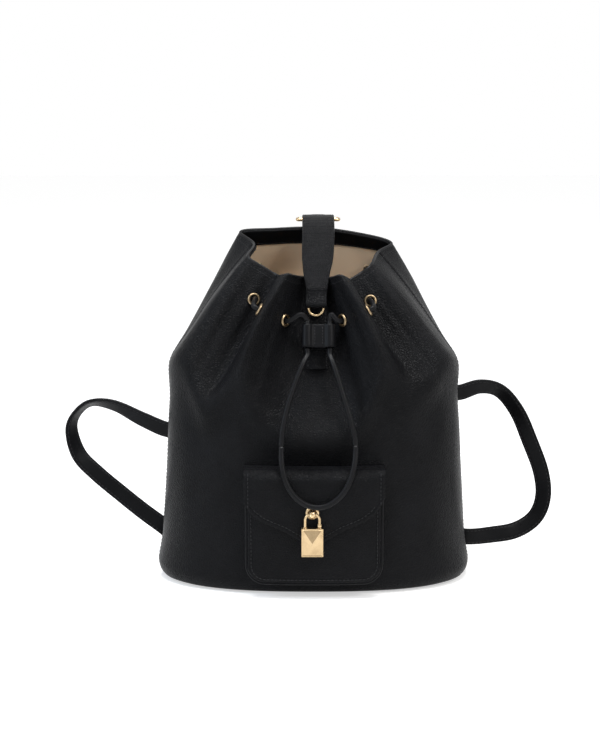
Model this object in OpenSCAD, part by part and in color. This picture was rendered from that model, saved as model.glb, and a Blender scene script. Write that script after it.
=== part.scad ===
/* [Bag body] */
// Width of the body at its widest, low down
bag_width = 262; // [218:1:315]
// Depth of the body at its widest
bag_depth = 150; // [125:1:180]
// Height of the mouth's rear edge above the table
bag_height = 287; // [255:1:345]
// Thickness of the outer leather
leather = 2.0; // [1.6:0.1:2.4]
// Thickness of the cloth lining
lining_wall = 1.0; // [0.8:0.1:1.2]
// Thickness of the stiffening board in the base
board = 3.0; // [2.4:0.1:3.6]
// Depth of the dark facing inside the mouth
facing = 12; // [10:1:15]
// Gap between sewn layers
sewn_gap = 0.3; // [0.25:0.05:0.4]

/* [Front pocket] */
// Width of the pocket
pocket_width = 108; // [90:1:116]
// Height of the pocket's bottom edge
pocket_floor = 12.5; // [10:0.5:15]
// Height of the pocket's mouth
pocket_top = 100; // [84:1:106]
// Depth of the pocket at its bottom
pocket_depth_low = 13; // [10:0.5:16]
// Depth of the pocket at its mouth
pocket_depth_top = 17; // [14:0.5:20]
// Radius of the pocket's lower corners
pocket_corner = 15; // [12:1:18]
// How far the flap stands over each side of the pocket
flap_over = 2; // [1:0.5:3]
// Height of the flap's lowest point
flap_tip = 46; // [38:1:52]
// Height at which the flap's sides turn in towards the tip
flap_turn = 85.5; // [80:0.5:92]
// Thickness of the flap
flap_wall = 2.2; // [1.8:0.1:2.6]

/* [Drawcord] */
// Diameter of the leather cord
cord_d = 4.3; // [3.6:0.1:5]
// Inner radius of the eyelets
eyelet_hole = 3.0; // [2.7:0.1:3.6]
// Outer radius of the eyelets
eyelet_rim = 5.4; // [5:0.1:6.4]
// Length of the sliding keeper along the cord
slider_length = 19; // [16:0.5:23]
// Distance between the two channels of the keeper
slider_pitch = 18; // [15:0.5:20]
// Outer radius of each channel of the keeper
slider_round = 4.7; // [4.4:0.1:5.2]

/* [Closure strap] */
// Width of the closure strap at the ring behind the mouth
closure_wide = 27; // [23:0.5:29]
// Width of the closure strap at its front end
closure_end = 17; // [15:0.5:18]
// Thickness of the closure strap
closure_wall = 2.6; // [2.2:0.1:3]
// Radius of the wire of the rear ring
ring_wire = 1.5; // [1.2:0.1:1.8]
// Radius of the wire of the pull ring
pull_wire = 1.2; // [1:0.1:1.4]
// Radius of the magnetic closures
magnet_r = 6.5; // [5.5:0.5:7]

/* [Padlock] */
// Width of the padlock's body
lock_width = 17.2; // [15:0.1:20]
// Height of the padlock's body
lock_height = 22.8; // [19:0.1:25]
// Depth of the padlock's body
lock_depth = 6.4; // [5.4:0.1:7.6]
// Height of the pyramid on the padlock's front
lock_pyramid = 2.6; // [1.6:0.1:3.2]
// Diameter of the shackle's wire
shackle_wire = 2.3; // [2:0.1:2.6]
// Outer width of the shackle
shackle_width = 13.6; // [12:0.1:15]

/* [Shoulder straps] */
// Width of the shoulder straps
strap_width = 14.5; // [12:0.5:16]
// Thickness of the shoulder straps
strap_wall = 3.0; // [2.5:0.1:3.6]
// Radius of the wire of the lower rings
lower_wire = 1.4; // [1.2:0.1:1.7]

/* [Hidden] */
$fn = 36;

black = [0.07, 0.07, 0.08];
cloth = [0.68, 0.57, 0.45];
gold = [0.83, 0.65, 0.30];

half_w = bag_width / 2;
half_d = bag_depth / 2;
plan_n = 2.5;
// how the plan narrows with height: across the width, and across the depth
side_taper = [[0, 0.93], [4, 0.975], [12, 1], [33, 0.972], [60, 0.958], [99, 0.94], [146, 0.925], [172, 0.914], [260, 0.89]];
front_taper = [[0, 0.89], [4, 0.96], [12, 1], [33, 0.99], [60, 0.985], [99, 0.975], [146, 0.965], [172, 0.955], [260, 0.93]];

// the folds of the mouth, round the bag from the middle of the back:
// [place on the plan in degrees, drop of the shoulder, bulge x, y, z, rim x, rim y, drop of the rim]
folds = [
  [90, 97, 0, 4, 0, 0, 42, 0],
  [118, 98, -3, 5, 0, -34, 42, 1],
  [146, 102, -4, 5, 0, -62, 40, 3],
  [180, 115, -7, -1, -2, -50, 18, 11],
  [207, 109, -6, -3, 0, -54, -8, 19],
  [219, 122, 0, 0, 0, -42, -13, 27],
  [228, 133, 3, 5, 0, -30, -17, 34],
  [237, 127, -3, -6, 0, -28.5, -35, 32],
  [244, 122, -6, -10, 1, -21.5, -44, 30],
  [250, 139, -4, -5, 0, -14, -35, 33],
  [259, 156, 0, 2, 0, -8, -22, 35],
  [270, 162, 0, 2, 0, 0, -20, 35],
  [281, 156, 0, 2, 0, 8, -22, 36],
  [288, 136, 4, -5, 0, 14, -35, 34],
  [294, 118, 6, -10, 1, 21.5, -44, 31],
  [302, 122, 3, -6, 0, 28.5, -35, 35],
  [311, 118, -3, 4, 0, 27, -17, 39],
  [321, 114, 0, 0, 0, 38, -12, 33],
  [333, 109, 5, -3, 0, 47, -8, 26],
  [360, 115, 7, -1, -2, 54, 18, 18],
  [394, 102, 4, 5, 0, 66, 40, 12],
  [422, 98, 3, 5, 0, 34, 42, 4]
];

function sgn_pow(v, p) = sign(v) * pow(abs(v), p);
function unit(v) = v / norm(v);
function mix(a, b, t) = a + (b - a) * t;
function curve4(a, b, c, d, t) = 0.5 * (2 * b + (c - a) * t + (2 * a - 5 * b + 4 * c - d) * t * t + (3 * b - a - 3 * c + d) * t * t * t);
function plan_point(deg, z) = [half_w * lookup(z, side_taper) * sgn_pow(cos(deg), 2 / plan_n), half_d * lookup(z, front_taper) * sgn_pow(sin(deg), 2 / plan_n), z];
// how far in front of (or behind) the middle the wall stands at x, z
function wall_y(x, z) = half_d * lookup(z, front_taper) * pow(1 - pow(min(0.999, abs(x) / (half_w * lookup(z, side_taper))), plan_n), 1 / plan_n);
function fold(i) = let (n = len(folds), k = floor(i / n), f = folds[i - k * n]) [f[0] + 360 * k, f[1], f[2], f[3], f[4], f[5], f[6], f[7]];
function fold_at(s) = let (i = floor(s), t = s - i) curve4(fold(i - 1), fold(i), fold(i + 1), fold(i + 2), t);
// a point on the outer leather: s round the bag in folds, v up the wall (0 to 1) and up the slope (1 to 2)
function skin(s, v) = let (
    f = fold_at(s), top = bag_height - f[1],
    low = plan_point(f[0], top), rim = [f[5], f[6], bag_height - f[7]],
    ctrl = (low + rim) / 2 + 2 * [f[2], f[3], f[4]], t = v - 1)
  v <= 1 ? plan_point(f[0], top * max(v, 0)) : low * (1 - t) * (1 - t) + ctrl * 2 * t * (1 - t) + rim * t * t;
function skin_normal(s, v) = unit(cross(skin(s + 0.05, v) - skin(s - 0.05, v), skin(s, min(2, v + 0.03)) - skin(s, max(0.02, v - 0.03))));
function skin_in(s, v, d) = skin(s, v) - skin_normal(s, v) * d;

// rows up the wall, the same for each panel
low_rows = [4, 12, 33];
rows = concat([for (z = low_rows) z / 160], [0.4, 0.6, 0.8, 0.93], [1, 1.08, 1.25, 1.42, 1.6, 1.78, 1.9, 2]);

// closed slab between an outer and an inner grid, [column][row]
module slab(outer, inner) {
  n = len(outer);
  m = len(outer[0]);
  pts = concat([for (i = [0 : n - 1]) for (j = [0 : m - 1]) outer[i][j]], [for (i = [0 : n - 1]) for (j = [0 : m - 1]) inner[i][j]]);
  function a(i, j) = i * m + j;
  function b(i, j) = n * m + i * m + j;
  polyhedron(pts, concat(
    [for (i = [0 : n - 2]) for (j = [0 : m - 2]) each [[a(i, j), a(i, j + 1), a(i + 1, j + 1)], [a(i, j), a(i + 1, j + 1), a(i + 1, j)]]],
    [for (i = [0 : n - 2]) for (j = [0 : m - 2]) each [[b(i, j), b(i + 1, j + 1), b(i, j + 1)], [b(i, j), b(i + 1, j), b(i + 1, j + 1)]]],
    [for (j = [0 : m - 2]) each [[a(0, j), b(0, j), b(0, j + 1)], [a(0, j), b(0, j + 1), a(0, j + 1)]]],
    [for (j = [0 : m - 2]) each [[a(n - 1, j), a(n - 1, j + 1), b(n - 1, j + 1)], [a(n - 1, j), b(n - 1, j + 1), b(n - 1, j)]]],
    [for (i = [0 : n - 2]) each [[a(i, 0), a(i + 1, 0), b(i + 1, 0)], [a(i, 0), b(i + 1, 0), b(i, 0)]]],
    [for (i = [0 : n - 2]) each [[a(i, m - 1), b(i, m - 1), b(i + 1, m - 1)], [a(i, m - 1), b(i + 1, m - 1), a(i + 1, m - 1)]]]), convexity = 8);
}
// closed band: the same with its last column joined to its first
module ring_slab(outer, inner) {
  n = len(outer);
  m = len(outer[0]);
  pts = concat([for (i = [0 : n - 1]) for (j = [0 : m - 1]) outer[i][j]], [for (i = [0 : n - 1]) for (j = [0 : m - 1]) inner[i][j]]);
  function a(i, j) = (i % n) * m + j;
  function b(i, j) = n * m + (i % n) * m + j;
  polyhedron(pts, concat(
    [for (i = [0 : n - 1]) for (j = [0 : m - 2]) each [[a(i, j), a(i, j + 1), a(i + 1, j + 1)], [a(i, j), a(i + 1, j + 1), a(i + 1, j)]]],
    [for (i = [0 : n - 1]) for (j = [0 : m - 2]) each [[b(i, j), b(i + 1, j + 1), b(i, j + 1)], [b(i, j), b(i + 1, j), b(i + 1, j + 1)]]],
    [for (i = [0 : n - 1]) each [[a(i, 0), a(i + 1, 0), b(i + 1, 0)], [a(i, 0), b(i + 1, 0), b(i, 0)]]],
    [for (i = [0 : n - 1]) each [[a(i, m - 1), b(i, m - 1), b(i + 1, m - 1)], [a(i, m - 1), b(i + 1, m - 1), a(i + 1, m - 1)]]]), convexity = 8);
}
// closed solid through rings of points, each ring turning about the way of travel
module lofted(rings) {
  n = len(rings);
  m = len(rings[0]);
  polyhedron([for (r = rings) each r], concat(
    [for (k = [0 : n - 2]) for (a = [0 : m - 1]) let (b = (a + 1) % m) each [[k * m + a, (k + 1) * m + a, (k + 1) * m + b], [k * m + a, (k + 1) * m + b, k * m + b]]],
    [[for (a = [0 : m - 1]) a]], [[for (a = [m - 1 : -1 : 0]) (n - 1) * m + a]]), convexity = 8);
}
function heading(p, i) = unit(p[min(i + 1, len(p) - 1)] - p[max(i - 1, 0)]);
// the side vector of a tube's rings, carried along without twist
function carry(p, i = 0, u = [], out = []) = i == len(p) ? out : let (t = heading(p, i), w = i == 0 ? unit(cross(t, abs(t[2]) < 0.9 ? [0, 0, 1] : [1, 0, 0])) : unit(u - t * (u * t))) carry(p, i + 1, w, concat(out, [w]));
function smooth(p, n) = [for (i = [0 : len(p) - 2]) for (k = [0 : n - 1]) curve4(i > 0 ? p[i - 1] : 2 * p[0] - p[1], p[i], p[i + 1], i < len(p) - 2 ? p[i + 2] : 2 * p[i + 1] - p[i], k / n), p[len(p) - 1]];
module tube(p, r, sides) {
  u = carry(p);
  lofted([for (i = [0 : len(p) - 1]) let (t = heading(p, i), v = cross(t, u[i])) [for (a = [0 : sides - 1]) p[i] + r * (cos(a * 360 / sides) * u[i] + sin(a * 360 / sides) * v)]]);
}
// flat strap: points, the way its face looks at each, widths, thickness
module ribbon(p, face, w, t) {
  lofted([for (i = [0 : len(p) - 1]) let (d = heading(p, i), side = unit(cross(face[i], d)), up = cross(d, side), a = side * w[i] / 2, b = up * t / 2) [p[i] + a - b, p[i] + a + b, p[i] - a + b, p[i] - a - b]]);
}
// puts a piece on the leather, its Z pointing away from the bag
module on_skin(s, v, d = 0) {
  n = skin_normal(s, v);
  translate(skin(s, v) + n * d) rotate([0, acos(n[2]), atan2(n[1], n[0])]) children();
}

// ---- bag body ----
front_span = [3.001, 18.999];
back_span = [19.001, 24.999];
function span_cols(a, b, n) = [for (k = [0 : n]) mix(a, b, k / n)];
function grid_at(cols, vs, d) = [for (s = cols) [for (v = vs) skin_in(s, v, d)]];
base_drop = sewn_gap;
function floor_edge(s, d) = let (f = fold_at(s), p = plan_point(f[0], 0), n = skin_normal(s, 0.02), h = unit([n[0], n[1], 0])) [p[0], p[1], 0] - h * d;
front_cols = span_cols(front_span[0], front_span[1], 46);
back_cols = span_cols(back_span[0], back_span[1], 16);
all_cols = concat(front_cols, [for (k = [0 : 16]) back_cols[k]]);
function panel_grid(cols, d) = [for (s = cols) concat([floor_edge(s, d)], [for (v = rows) skin_in(s, v, d)])];

// eyelets: [s, v] on the folds, and how far the flange stands off the leather
front_holes = [[5.4, 1.76, 0.8], [7.05, 1.72, 0.6], [9.4, 1.7, 0.9], [12.65, 1.7, 0.9], [14.95, 1.72, 0.6], [16.6, 1.76, 0.8]];
back_holes = [[-1.0, 1.66, 0.6], [1.0, 1.66, 0.6]];
hole_cut = eyelet_hole + 0.8 + 0.15;
module hole_tools(list, extra = 0) { for (h = list) on_skin(h[0], h[1], -9) cylinder(r = hole_cut + extra, h = 18); }
module eyelet(lift) {
  stack = leather + sewn_gap + lining_wall;
  rotate_extrude() polygon([[eyelet_hole, lift + 0.9], [eyelet_hole + 0.5, lift + 1.2], [eyelet_rim - 0.6, lift + 0.9], [eyelet_rim, lift], [eyelet_hole + 0.8, lift], [eyelet_hole + 0.8, -stack - 0.9], [eyelet_rim - 0.2, -stack - 0.9], [eyelet_rim - 0.2, -stack - 1.5], [eyelet_hole, -stack - 1.5]]);
}
module front_panel() color(black) difference() {
  slab(panel_grid(front_cols, 0), panel_grid(front_cols, leather));
  hole_tools(front_holes);
}
module back_panel() color(black) difference() {
  slab(panel_grid(back_cols, 0), panel_grid(back_cols, leather));
  hole_tools([for (h = back_holes) [h[0] + 22, h[1]]]);
}
function base_outline(d) = [for (s = all_cols) let (p = floor_edge(s, d)) [p[0], p[1]]];
module base_panel() color(black) linear_extrude(leather) polygon(base_outline(leather + sewn_gap));
module base_board() color([0.45, 0.36, 0.26]) translate([0, 0, leather + 0.2]) linear_extrude(board) polygon(base_outline(leather + sewn_gap + 3));

lining_out = leather + sewn_gap;
lining_in = lining_out + lining_wall;
lining_z = leather + 0.2 + board + 0.3;
lining_rows = concat([for (k = [1 : 12]) rows[k]], [1.86]);
lining_cols = all_cols;
function lining_edge(s, d, z) = let (p = skin_in(s, lining_z / 160, d + 0.7)) [p[0], p[1], z];
module lining() color(cloth) difference() {
  union() {
    ring_slab([for (s = lining_cols) concat([lining_edge(s, lining_out, lining_z)], [for (v = lining_rows) skin_in(s, v, lining_out)])],
              [for (s = lining_cols) concat([lining_edge(s, lining_in, lining_z)], [for (v = lining_rows) skin_in(s, v, lining_in)])]);
    translate([0, 0, lining_z]) linear_extrude(lining_wall) polygon([for (s = lining_cols) let (p = lining_edge(s, lining_in - 0.4, 0)) [p[0], p[1]]]);
  }
  hole_tools(front_holes);
  hole_tools(back_holes);
}
facing_rows = [1.873, 1.9, 1.995];
module top_facing() color(black) ring_slab(grid_at(lining_cols, facing_rows, lining_out), grid_at(lining_cols, facing_rows, lining_in + 0.4));

// flat pocket sewn to the lining of the back
slip_x = 48;
slip_z = [70, 150];
function slip_y(x, z) = wall_y(x, z) - lining_in;
function slip_depth(x, z) = 0.5 + 2.5 * pow(cos(90 * x / slip_x), 0.5) * (z - slip_z[0]) / (slip_z[1] - slip_z[0]);
module slip_pocket() color(cloth) {
  xs = [for (k = [0 : 10]) mix(-slip_x, slip_x, k / 10)];
  zs = [slip_z[0], 90, 110, 130, slip_z[1]];
  slab([for (x = xs) [for (z = zs) [x, slip_y(x, z) - slip_depth(x, z) - 1.2, z]]], [for (x = xs) [for (z = zs) [x, slip_y(x, z) - slip_depth(x, z), z]]]);
}

module front_eyelets() color(gold) for (h = front_holes) on_skin(h[0], h[1]) eyelet(h[2]);
module back_eyelets() color(gold) for (h = back_holes) on_skin(h[0], h[1]) eyelet(h[2]);

// ---- the middle of the front hollow, for what lies on it ----
mid_x = 3.6;
slope_top = skin(11, 2);
slope_low = skin(11, 1);
slope_dir = unit(slope_low - slope_top);
slope_out = [0, slope_dir[2], -slope_dir[1]];
function slope_point(drop, out) = let (z = bag_height - drop, k = (slope_top[2] - z) / (slope_top[2] - slope_low[2]), t = 1 - k, q = skin(11, 1 + t)) [0, q[1], q[2]] + slope_out * out;

// ---- keeper on the cord ----
slider_drop = 84.5;
slider_seat = 13;
slider_at = slope_point(slider_drop, slider_seat) + [mid_x, 0, 0];
slide_lean = atan2(-slope_dir[1], -slope_dir[2]);
module slider_place() translate(slider_at) rotate([-slide_lean, 0, 0]) children();
module cord_slider() color(black) slider_place() translate([0, 0, -slider_length / 2]) linear_extrude(slider_length) difference() {
  union() {
    for (s = [-1, 1]) translate([s * slider_pitch / 2, 0]) circle(slider_round);
    square([slider_pitch, 5.4], center = true);
  }
  for (s = [-1, 1]) translate([s * slider_pitch / 2, 0]) circle(cord_d / 2 + 0.25);
}
function in_slider(side, z) = slider_at + [side * slider_pitch / 2, -slope_dir[1] * z, -slope_dir[2] * z];

// ---- drawcord that the bag holds ----
function through(h, d) = skin(h[0], h[1]) + skin_normal(h[0], h[1]) * d;
function half_cord(side, inner, flank, outer, back, loop_s) = concat(
  [in_slider(side, -slider_length / 2 + 0.25), in_slider(side, -2), in_slider(side, slider_length / 2 + 0.5), in_slider(side, slider_length / 2 + 3.5)],
  [mix(in_slider(side, slider_length / 2 + 9), through(inner, 10), 0.5) + [0, 0, 2.5]],
  [through(inner, 5), through(inner, -3), through(inner, -8)],
  [through(flank, -8), through(flank, -3), through(flank, 5)],
  [mix(through(flank, 7), through(outer, 7), 0.5)],
  [through(outer, 5), through(outer, -3), through(outer, -8)],
  [for (s = loop_s) skin_in(s, 1.62, 9)],
  [skin_in(side < 0 ? 1.5 : 20.5, 1.65, 9)],
  [through(back, -8), through(back, -3), through(back, 5)]);
left_cord = half_cord(-1, front_holes[2], front_holes[1], front_holes[0], back_holes[1], [4.2, 3.2, 2.3]);
right_cord = half_cord(1, front_holes[3], front_holes[4], front_holes[5], back_holes[0], [17.8, 18.8, 19.7]);
function turned(p) = [for (i = [len(p) - 1 : -1 : 0]) p[i]];
held_cord = concat(left_cord, [skin_in(0.35, 1.66, -5.4), skin_in(-0.35, 1.66, -5.4)], turned(right_cord));
module drawcord() color(black) tube(smooth(held_cord, 2), cord_d / 2, 8);

// ---- free loop of the cord, below the keeper ----
loop_points = [[-10, -63, 185], [-18.5, -72, 163], [-24, -79.5, 143], [-26, -85, 125], [-25, -93, 107], [-19, -98, 92], [-9, -99, 82], [2.8, -99, 78.5], [14, -99, 82], [24, -98, 92], [30.5, -93, 107], [32.5, -85, 125], [29, -79.5, 143], [23, -72, 163], [16, -63, 185]];
loop_path = concat([in_slider(-1, -slider_length / 2), in_slider(-1, -slider_length / 2 - 2.5), in_slider(-1, -slider_length / 2 - 6)], loop_points, [in_slider(1, -slider_length / 2 - 6), in_slider(1, -slider_length / 2 - 2.5), in_slider(1, -slider_length / 2)]);
module drawcord_loop() color(black) tube(smooth(loop_path, 2), cord_d / 2, 8);

// ---- tab and magnets under the closure strap ----
tab_wall = 2.4;
tab_out = 2 + tab_wall / 2;
magnet_seat = 0.45;
tab_drops = [44, 60, 76, 92, 107];
module front_tab() color(black) ribbon([for (d = tab_drops) slope_point(d, tab_out) + [2.5, 0, 0]], [for (d = tab_drops) slope_out], [14, 16, 19, 19, 19], tab_wall);
magnet_h = 2;
magnet_drop = 50;
module magnet_at(out) translate(slope_point(magnet_drop, out) + [2.5, 0, 0]) rotate([90 - slide_lean, 0, 0]) children();
module disc() rotate_extrude() polygon([[0, 0], [magnet_r, 0], [magnet_r, magnet_h - 0.5], [magnet_r - 0.5, magnet_h], [0, magnet_h]]);
module tab_magnet() color(gold) magnet_at(tab_out + tab_wall / 2 + magnet_seat) disc();

// ---- ring behind the mouth, and what holds it ----
ring_y = [45, 54.5];
ring_z = bag_height + 6;
ring_x = [-13.5, 21.5];
ring_fit = 0.15;
module bar(a, b, r) {
  d = b - a;
  translate(a) rotate([0, acos(d[2] / norm(d)), atan2(d[1], d[0])]) cylinder(r = r, h = norm(d));
}
module top_ring() color(gold) {
  for (y = ring_y) bar([ring_x[0], y, ring_z], [ring_x[1], y, ring_z], ring_wire);
  for (x = ring_x) {
    bar([x, ring_y[0], ring_z], [x, ring_y[1], ring_z], ring_wire);
    for (y = ring_y) translate([x, y, ring_z]) sphere(ring_wire);
  }
}
tab_w = 16;
loop_r = ring_wire + ring_fit + leather;
function back_out(v, d) = let (q = skin(0, v)) [mid_x, q[1], q[2]] + skin_normal(0, v) * d;
module ring_tab() color(black) difference() {
  union() {
    bar([mid_x - tab_w / 2, ring_y[1], ring_z], [mid_x + tab_w / 2, ring_y[1], ring_z], loop_r);
    ribbon([[mid_x, ring_y[1] + loop_r - leather / 2 - 0.2, ring_z - 0.5], [mid_x, ring_y[1] + loop_r - leather / 2 - 0.2, ring_z - 5], back_out(1.9, 4.2), back_out(1.78, 2.6), back_out(1.65, 1.5), back_out(1.55, 1.5)],
           [for (k = [0 : 5]) [0, 1, 0.2]], [for (k = [0 : 5]) tab_w], leather);
  }
  bar([mid_x - tab_w / 2 - 1, ring_y[1], ring_z], [mid_x + tab_w / 2 + 1, ring_y[1], ring_z], ring_wire + ring_fit);
}

// ---- closure strap ----
closure_barrel = ring_wire + ring_fit + closure_wall;
strap_out = tab_out + tab_wall / 2 + 2 * magnet_seat + 2 * magnet_h + 0.5 + closure_wall / 2;
pull_at = slope_point(59.5, strap_out + 0.3) + [1.6, 0, 0];
pull_barrel = pull_wire + ring_fit + leather;
closure_path = [[4, ring_y[0] - 0.5, ring_z + closure_barrel - closure_wall / 2], [4, 36, ring_z + 1.2], [4, 20, bag_height + 0.5], [3.6, 2, bag_height - 11.5], [3, -12, bag_height - 22], [2.3, -22, bag_height - 29.7],
  slope_point(46, strap_out) + [2.2, 0, 0], slope_point(52, strap_out) + [1.9, 0, 0], slope_point(58.5, strap_out) + [1.6, 0, 0]];
closure_widths = [closure_wide, closure_wide, closure_wide - 1, closure_wide - 4, closure_wide - 8, closure_end - 1, closure_end - 1, closure_end, closure_end];
module closure_strap() color(black) difference() {
  union() {
    bar([4 - closure_wide / 2, ring_y[0], ring_z], [4 + closure_wide / 2, ring_y[0], ring_z], closure_barrel);
    ribbon(closure_path, [for (k = [0 : len(closure_path) - 1]) [0, -0.5, 1]], closure_widths, closure_wall);
    bar(pull_at - [closure_end / 2, 0, 0], pull_at + [closure_end / 2, 0, 0], pull_barrel);
  }
  bar([3 - closure_wide, ring_y[0], ring_z], [5 + closure_wide, ring_y[0], ring_z], ring_wire + ring_fit);
  bar(pull_at - [closure_end, 0, 0], pull_at + [closure_end, 0, 0], pull_wire + ring_fit);
  // notch that the ring's legs turn in
  for (s = [-1, 1]) translate(pull_at + [s * (pull_r), 0, 0]) rotate([0, 90, 0]) cylinder(r = pull_barrel + 1.5, h = 2 * pull_wire + 1.2, center = true);
}
module strap_magnet() color(gold) magnet_at(tab_out + tab_wall / 2 + magnet_seat + magnet_h + 0.3) disc();
pull_r = closure_end / 2 - 2.4;
module pull_ring() color(gold) {
  bar(pull_at - [pull_r, 0, 0], pull_at + [pull_r, 0, 0], pull_wire);
  for (s = [-1, 1]) {
    translate(pull_at + [s * pull_r, 0, 0]) sphere(pull_wire);
    bar(pull_at + [s * pull_r, 0, 0], pull_at + [s * pull_r, 0, -3], pull_wire);
  }
  translate(pull_at + [0, 0, -3]) rotate([90, 0, 0]) rotate([0, 0, 180]) rotate_extrude(angle = 180) translate([pull_r, 0]) circle(pull_wire);
}

// ---- front pocket ----
pocket_half = pocket_width / 2;
function pocket_face(x, z) = -wall_y(x, z) - mix(pocket_depth_low, pocket_depth_top, (z - pocket_floor) / (pocket_top - pocket_floor));
function pocket_bottom(x) = abs(x) <= pocket_half - pocket_corner ? pocket_floor : pocket_floor + pocket_corner - sqrt(max(0, pow(pocket_corner, 2) - pow(abs(x) - pocket_half + pocket_corner, 2)));
pocket_xs = concat([for (k = [0 : 5]) -pocket_half + pocket_corner * (1 - cos(k * 18))], [for (k = [1 : 7]) mix(-pocket_half + pocket_corner, pocket_half - pocket_corner, k / 8)], [for (k = [5 : -1 : 0]) pocket_half - pocket_corner * (1 - cos(k * 18))]);
function pocket_row(x, k) = mix(pocket_bottom(x), pocket_top, k);
module pocket_front() color(black) {
  ks = [0, 0.25, 0.5, 0.75, 1];
  slab([for (x = pocket_xs) [for (k = ks) [x, pocket_face(x, pocket_row(x, k)), pocket_row(x, k)]]], [for (x = pocket_xs) [for (k = ks) [x, pocket_face(x, pocket_row(x, k)) + leather, pocket_row(x, k)]]]);
}
// the band round the pocket's sides and bottom, from the bag's wall to the pocket's face
gusset_line = concat([[-pocket_half, pocket_top], [-pocket_half, 75], [-pocket_half, 50]],
  [for (k = [0 : 5]) [-pocket_half + pocket_corner * (1 - cos(k * 18)), pocket_floor + pocket_corner * (1 - sin(k * 18))]],
  [for (k = [1 : 5]) [mix(-pocket_half + pocket_corner, pocket_half - pocket_corner, k / 6), pocket_floor]],
  [for (k = [5 : -1 : 0]) [pocket_half - pocket_corner * (1 - cos(k * 18)), pocket_floor + pocket_corner * (1 - sin(k * 18))]],
  [[pocket_half, 50], [pocket_half, 75], [pocket_half, pocket_top]]);
function gusset_in(i) = let (a = gusset_line[max(i - 1, 0)], b = gusset_line[min(i + 1, len(gusset_line) - 1)], d = unit(b - a)) [-d[1], d[0]];
module pocket_gusset() color(black) {
  n = len(gusset_line);
  lofted([for (i = [0 : n - 1]) let (p = gusset_line[i], q = p + gusset_in(i) * leather,
    yf = pocket_face(p[0], p[1]) + leather + 0.2, yg = pocket_face(q[0], q[1]) + leather + 0.2,
    yb = -wall_y(p[0], p[1]) - sewn_gap, yc = -wall_y(q[0], q[1]) - sewn_gap)
    [[p[0], yb, p[1]], [p[0], yf, p[1]], [q[0], yg, q[1]], [q[0], yc, q[1]]]]);
}
flap_z = pocket_top + 5;
flap_hinge_y = pocket_face(0, pocket_top) + 11.5;
flap_half = pocket_half + flap_over;
flap_xs = [for (k = [-8 : 8]) flap_half * sin(k * 90 / 8)];
module flap_root() color(black) slab([for (x = flap_xs) [[x, flap_hinge_y + 0.3, flap_z - flap_wall / 2], [x, flap_hinge_y + 0.3, flap_z + flap_wall / 2]]],
  [for (x = flap_xs) [[x, -wall_y(x, flap_z - flap_wall / 2) - sewn_gap, flap_z - flap_wall / 2], [x, -wall_y(x, flap_z + flap_wall / 2) - sewn_gap, flap_z + flap_wall / 2]]]);
// lower edge of the flap: straight sides, then two sweeps to a rounded point
function flap_edge(x) = let (u = abs(x + 1) / (flap_half + 1)) flap_tip + (flap_turn - flap_tip) * (1 - pow(cos(90 * pow(min(1, u), 0.92)), 0.8)) ;
flap_face = pocket_face(0, pocket_top) - 2.6;
flap_bow = 3.2;
function flap_y(x, z) = flap_face + flap_bow * pow(abs(x) / flap_half, 2) + (z < 60 ? (60 - z) * 0.02 : 0);
// up the flap: its front, then the roll back to the hinge line
function flap_row(x, k, out) = let (e = flap_edge(x), r = flap_z - 7)
  k <= 4 ? [x, flap_y(x, mix(e, r, k / 4)) - out, mix(e, r, k / 4)] :
  let (a = (k - 4) * 22.5, f = flap_y(x, r), d = flap_hinge_y - 4.3 - f) [x, f - out * cos(a) + d * (1 - cos(a)), r + (7 + out) * sin(a)];
function flap_col(x, out) = concat([for (k = [0 : 8]) flap_row(x, k, out)], [[x, flap_hinge_y, flap_z + out]]);
module pocket_flap() color(black) {
  difference() {
    slab([for (x = flap_xs) flap_col(x, flap_wall / 2)], [for (x = flap_xs) flap_col(x, -flap_wall / 2)]);
    translate([lock_x, 0, grommet_z]) rotate([90, 0, 0]) cylinder(r = grommet_hole + 0.8 + 0.15, h = 200);
  }
}
lock_x = -1.6;
grommet_z = 72.9;
grommet_hole = 2.8;
grommet_rim = 5.5;
grommet_y = flap_y(lock_x, grommet_z);
module flap_grommet() color(gold) translate([lock_x, grommet_y, grommet_z]) rotate([90, 0, 0]) rotate_extrude() polygon([[grommet_hole, 1.9], [grommet_hole + 0.6, 2.2], [grommet_rim - 0.6, 1.9], [grommet_rim, flap_wall / 2 + 0.15], [grommet_hole + 0.8, flap_wall / 2 + 0.15], [grommet_hole + 0.8, -flap_wall / 2 - 0.6], [grommet_hole, -flap_wall / 2 - 0.6]]);
// staple through the grommet: a post with a cross hole that the shackle hangs in
post_r = 2.5;
eye_fit = 0.35;
eye_out = 5.4;
eye_r = shackle_wire / 2 + eye_fit;
post_ball = 3.2;
module padlock_staple() color(gold) difference() {
  translate([lock_x, grommet_y - eye_out, grommet_z]) rotate([90, 0, 0]) rotate_extrude() polygon(concat(
    [[0, -eye_out - flap_wall / 2 - 1.5], [5, -eye_out - flap_wall / 2 - 1.5], [5, -eye_out - flap_wall / 2 - 0.7], [post_r, -eye_out - flap_wall / 2 - 0.7]],
    [for (a = [-48 : 23 : 67]) [post_ball * cos(a), post_ball * sin(a)]], [[0, post_ball]]));
  translate([lock_x, grommet_y - eye_out, grommet_z]) rotate([0, 90, 0]) cylinder(r = eye_r, h = 12, center = true);
}
// magnets that hold the flap down
snap_z = 56;
module flap_magnet() color(gold) translate([lock_x, flap_y(lock_x, snap_z) + flap_wall / 2 + 0.2 + 0.8, snap_z]) rotate([90, 0, 0]) cylinder(r = 4.5, h = 0.8);
module pocket_magnet() color(gold) translate([lock_x, pocket_face(lock_x, snap_z) - 0.25, snap_z]) rotate([90, 0, 0]) cylinder(r = 4.5, h = 0.8);

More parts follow.
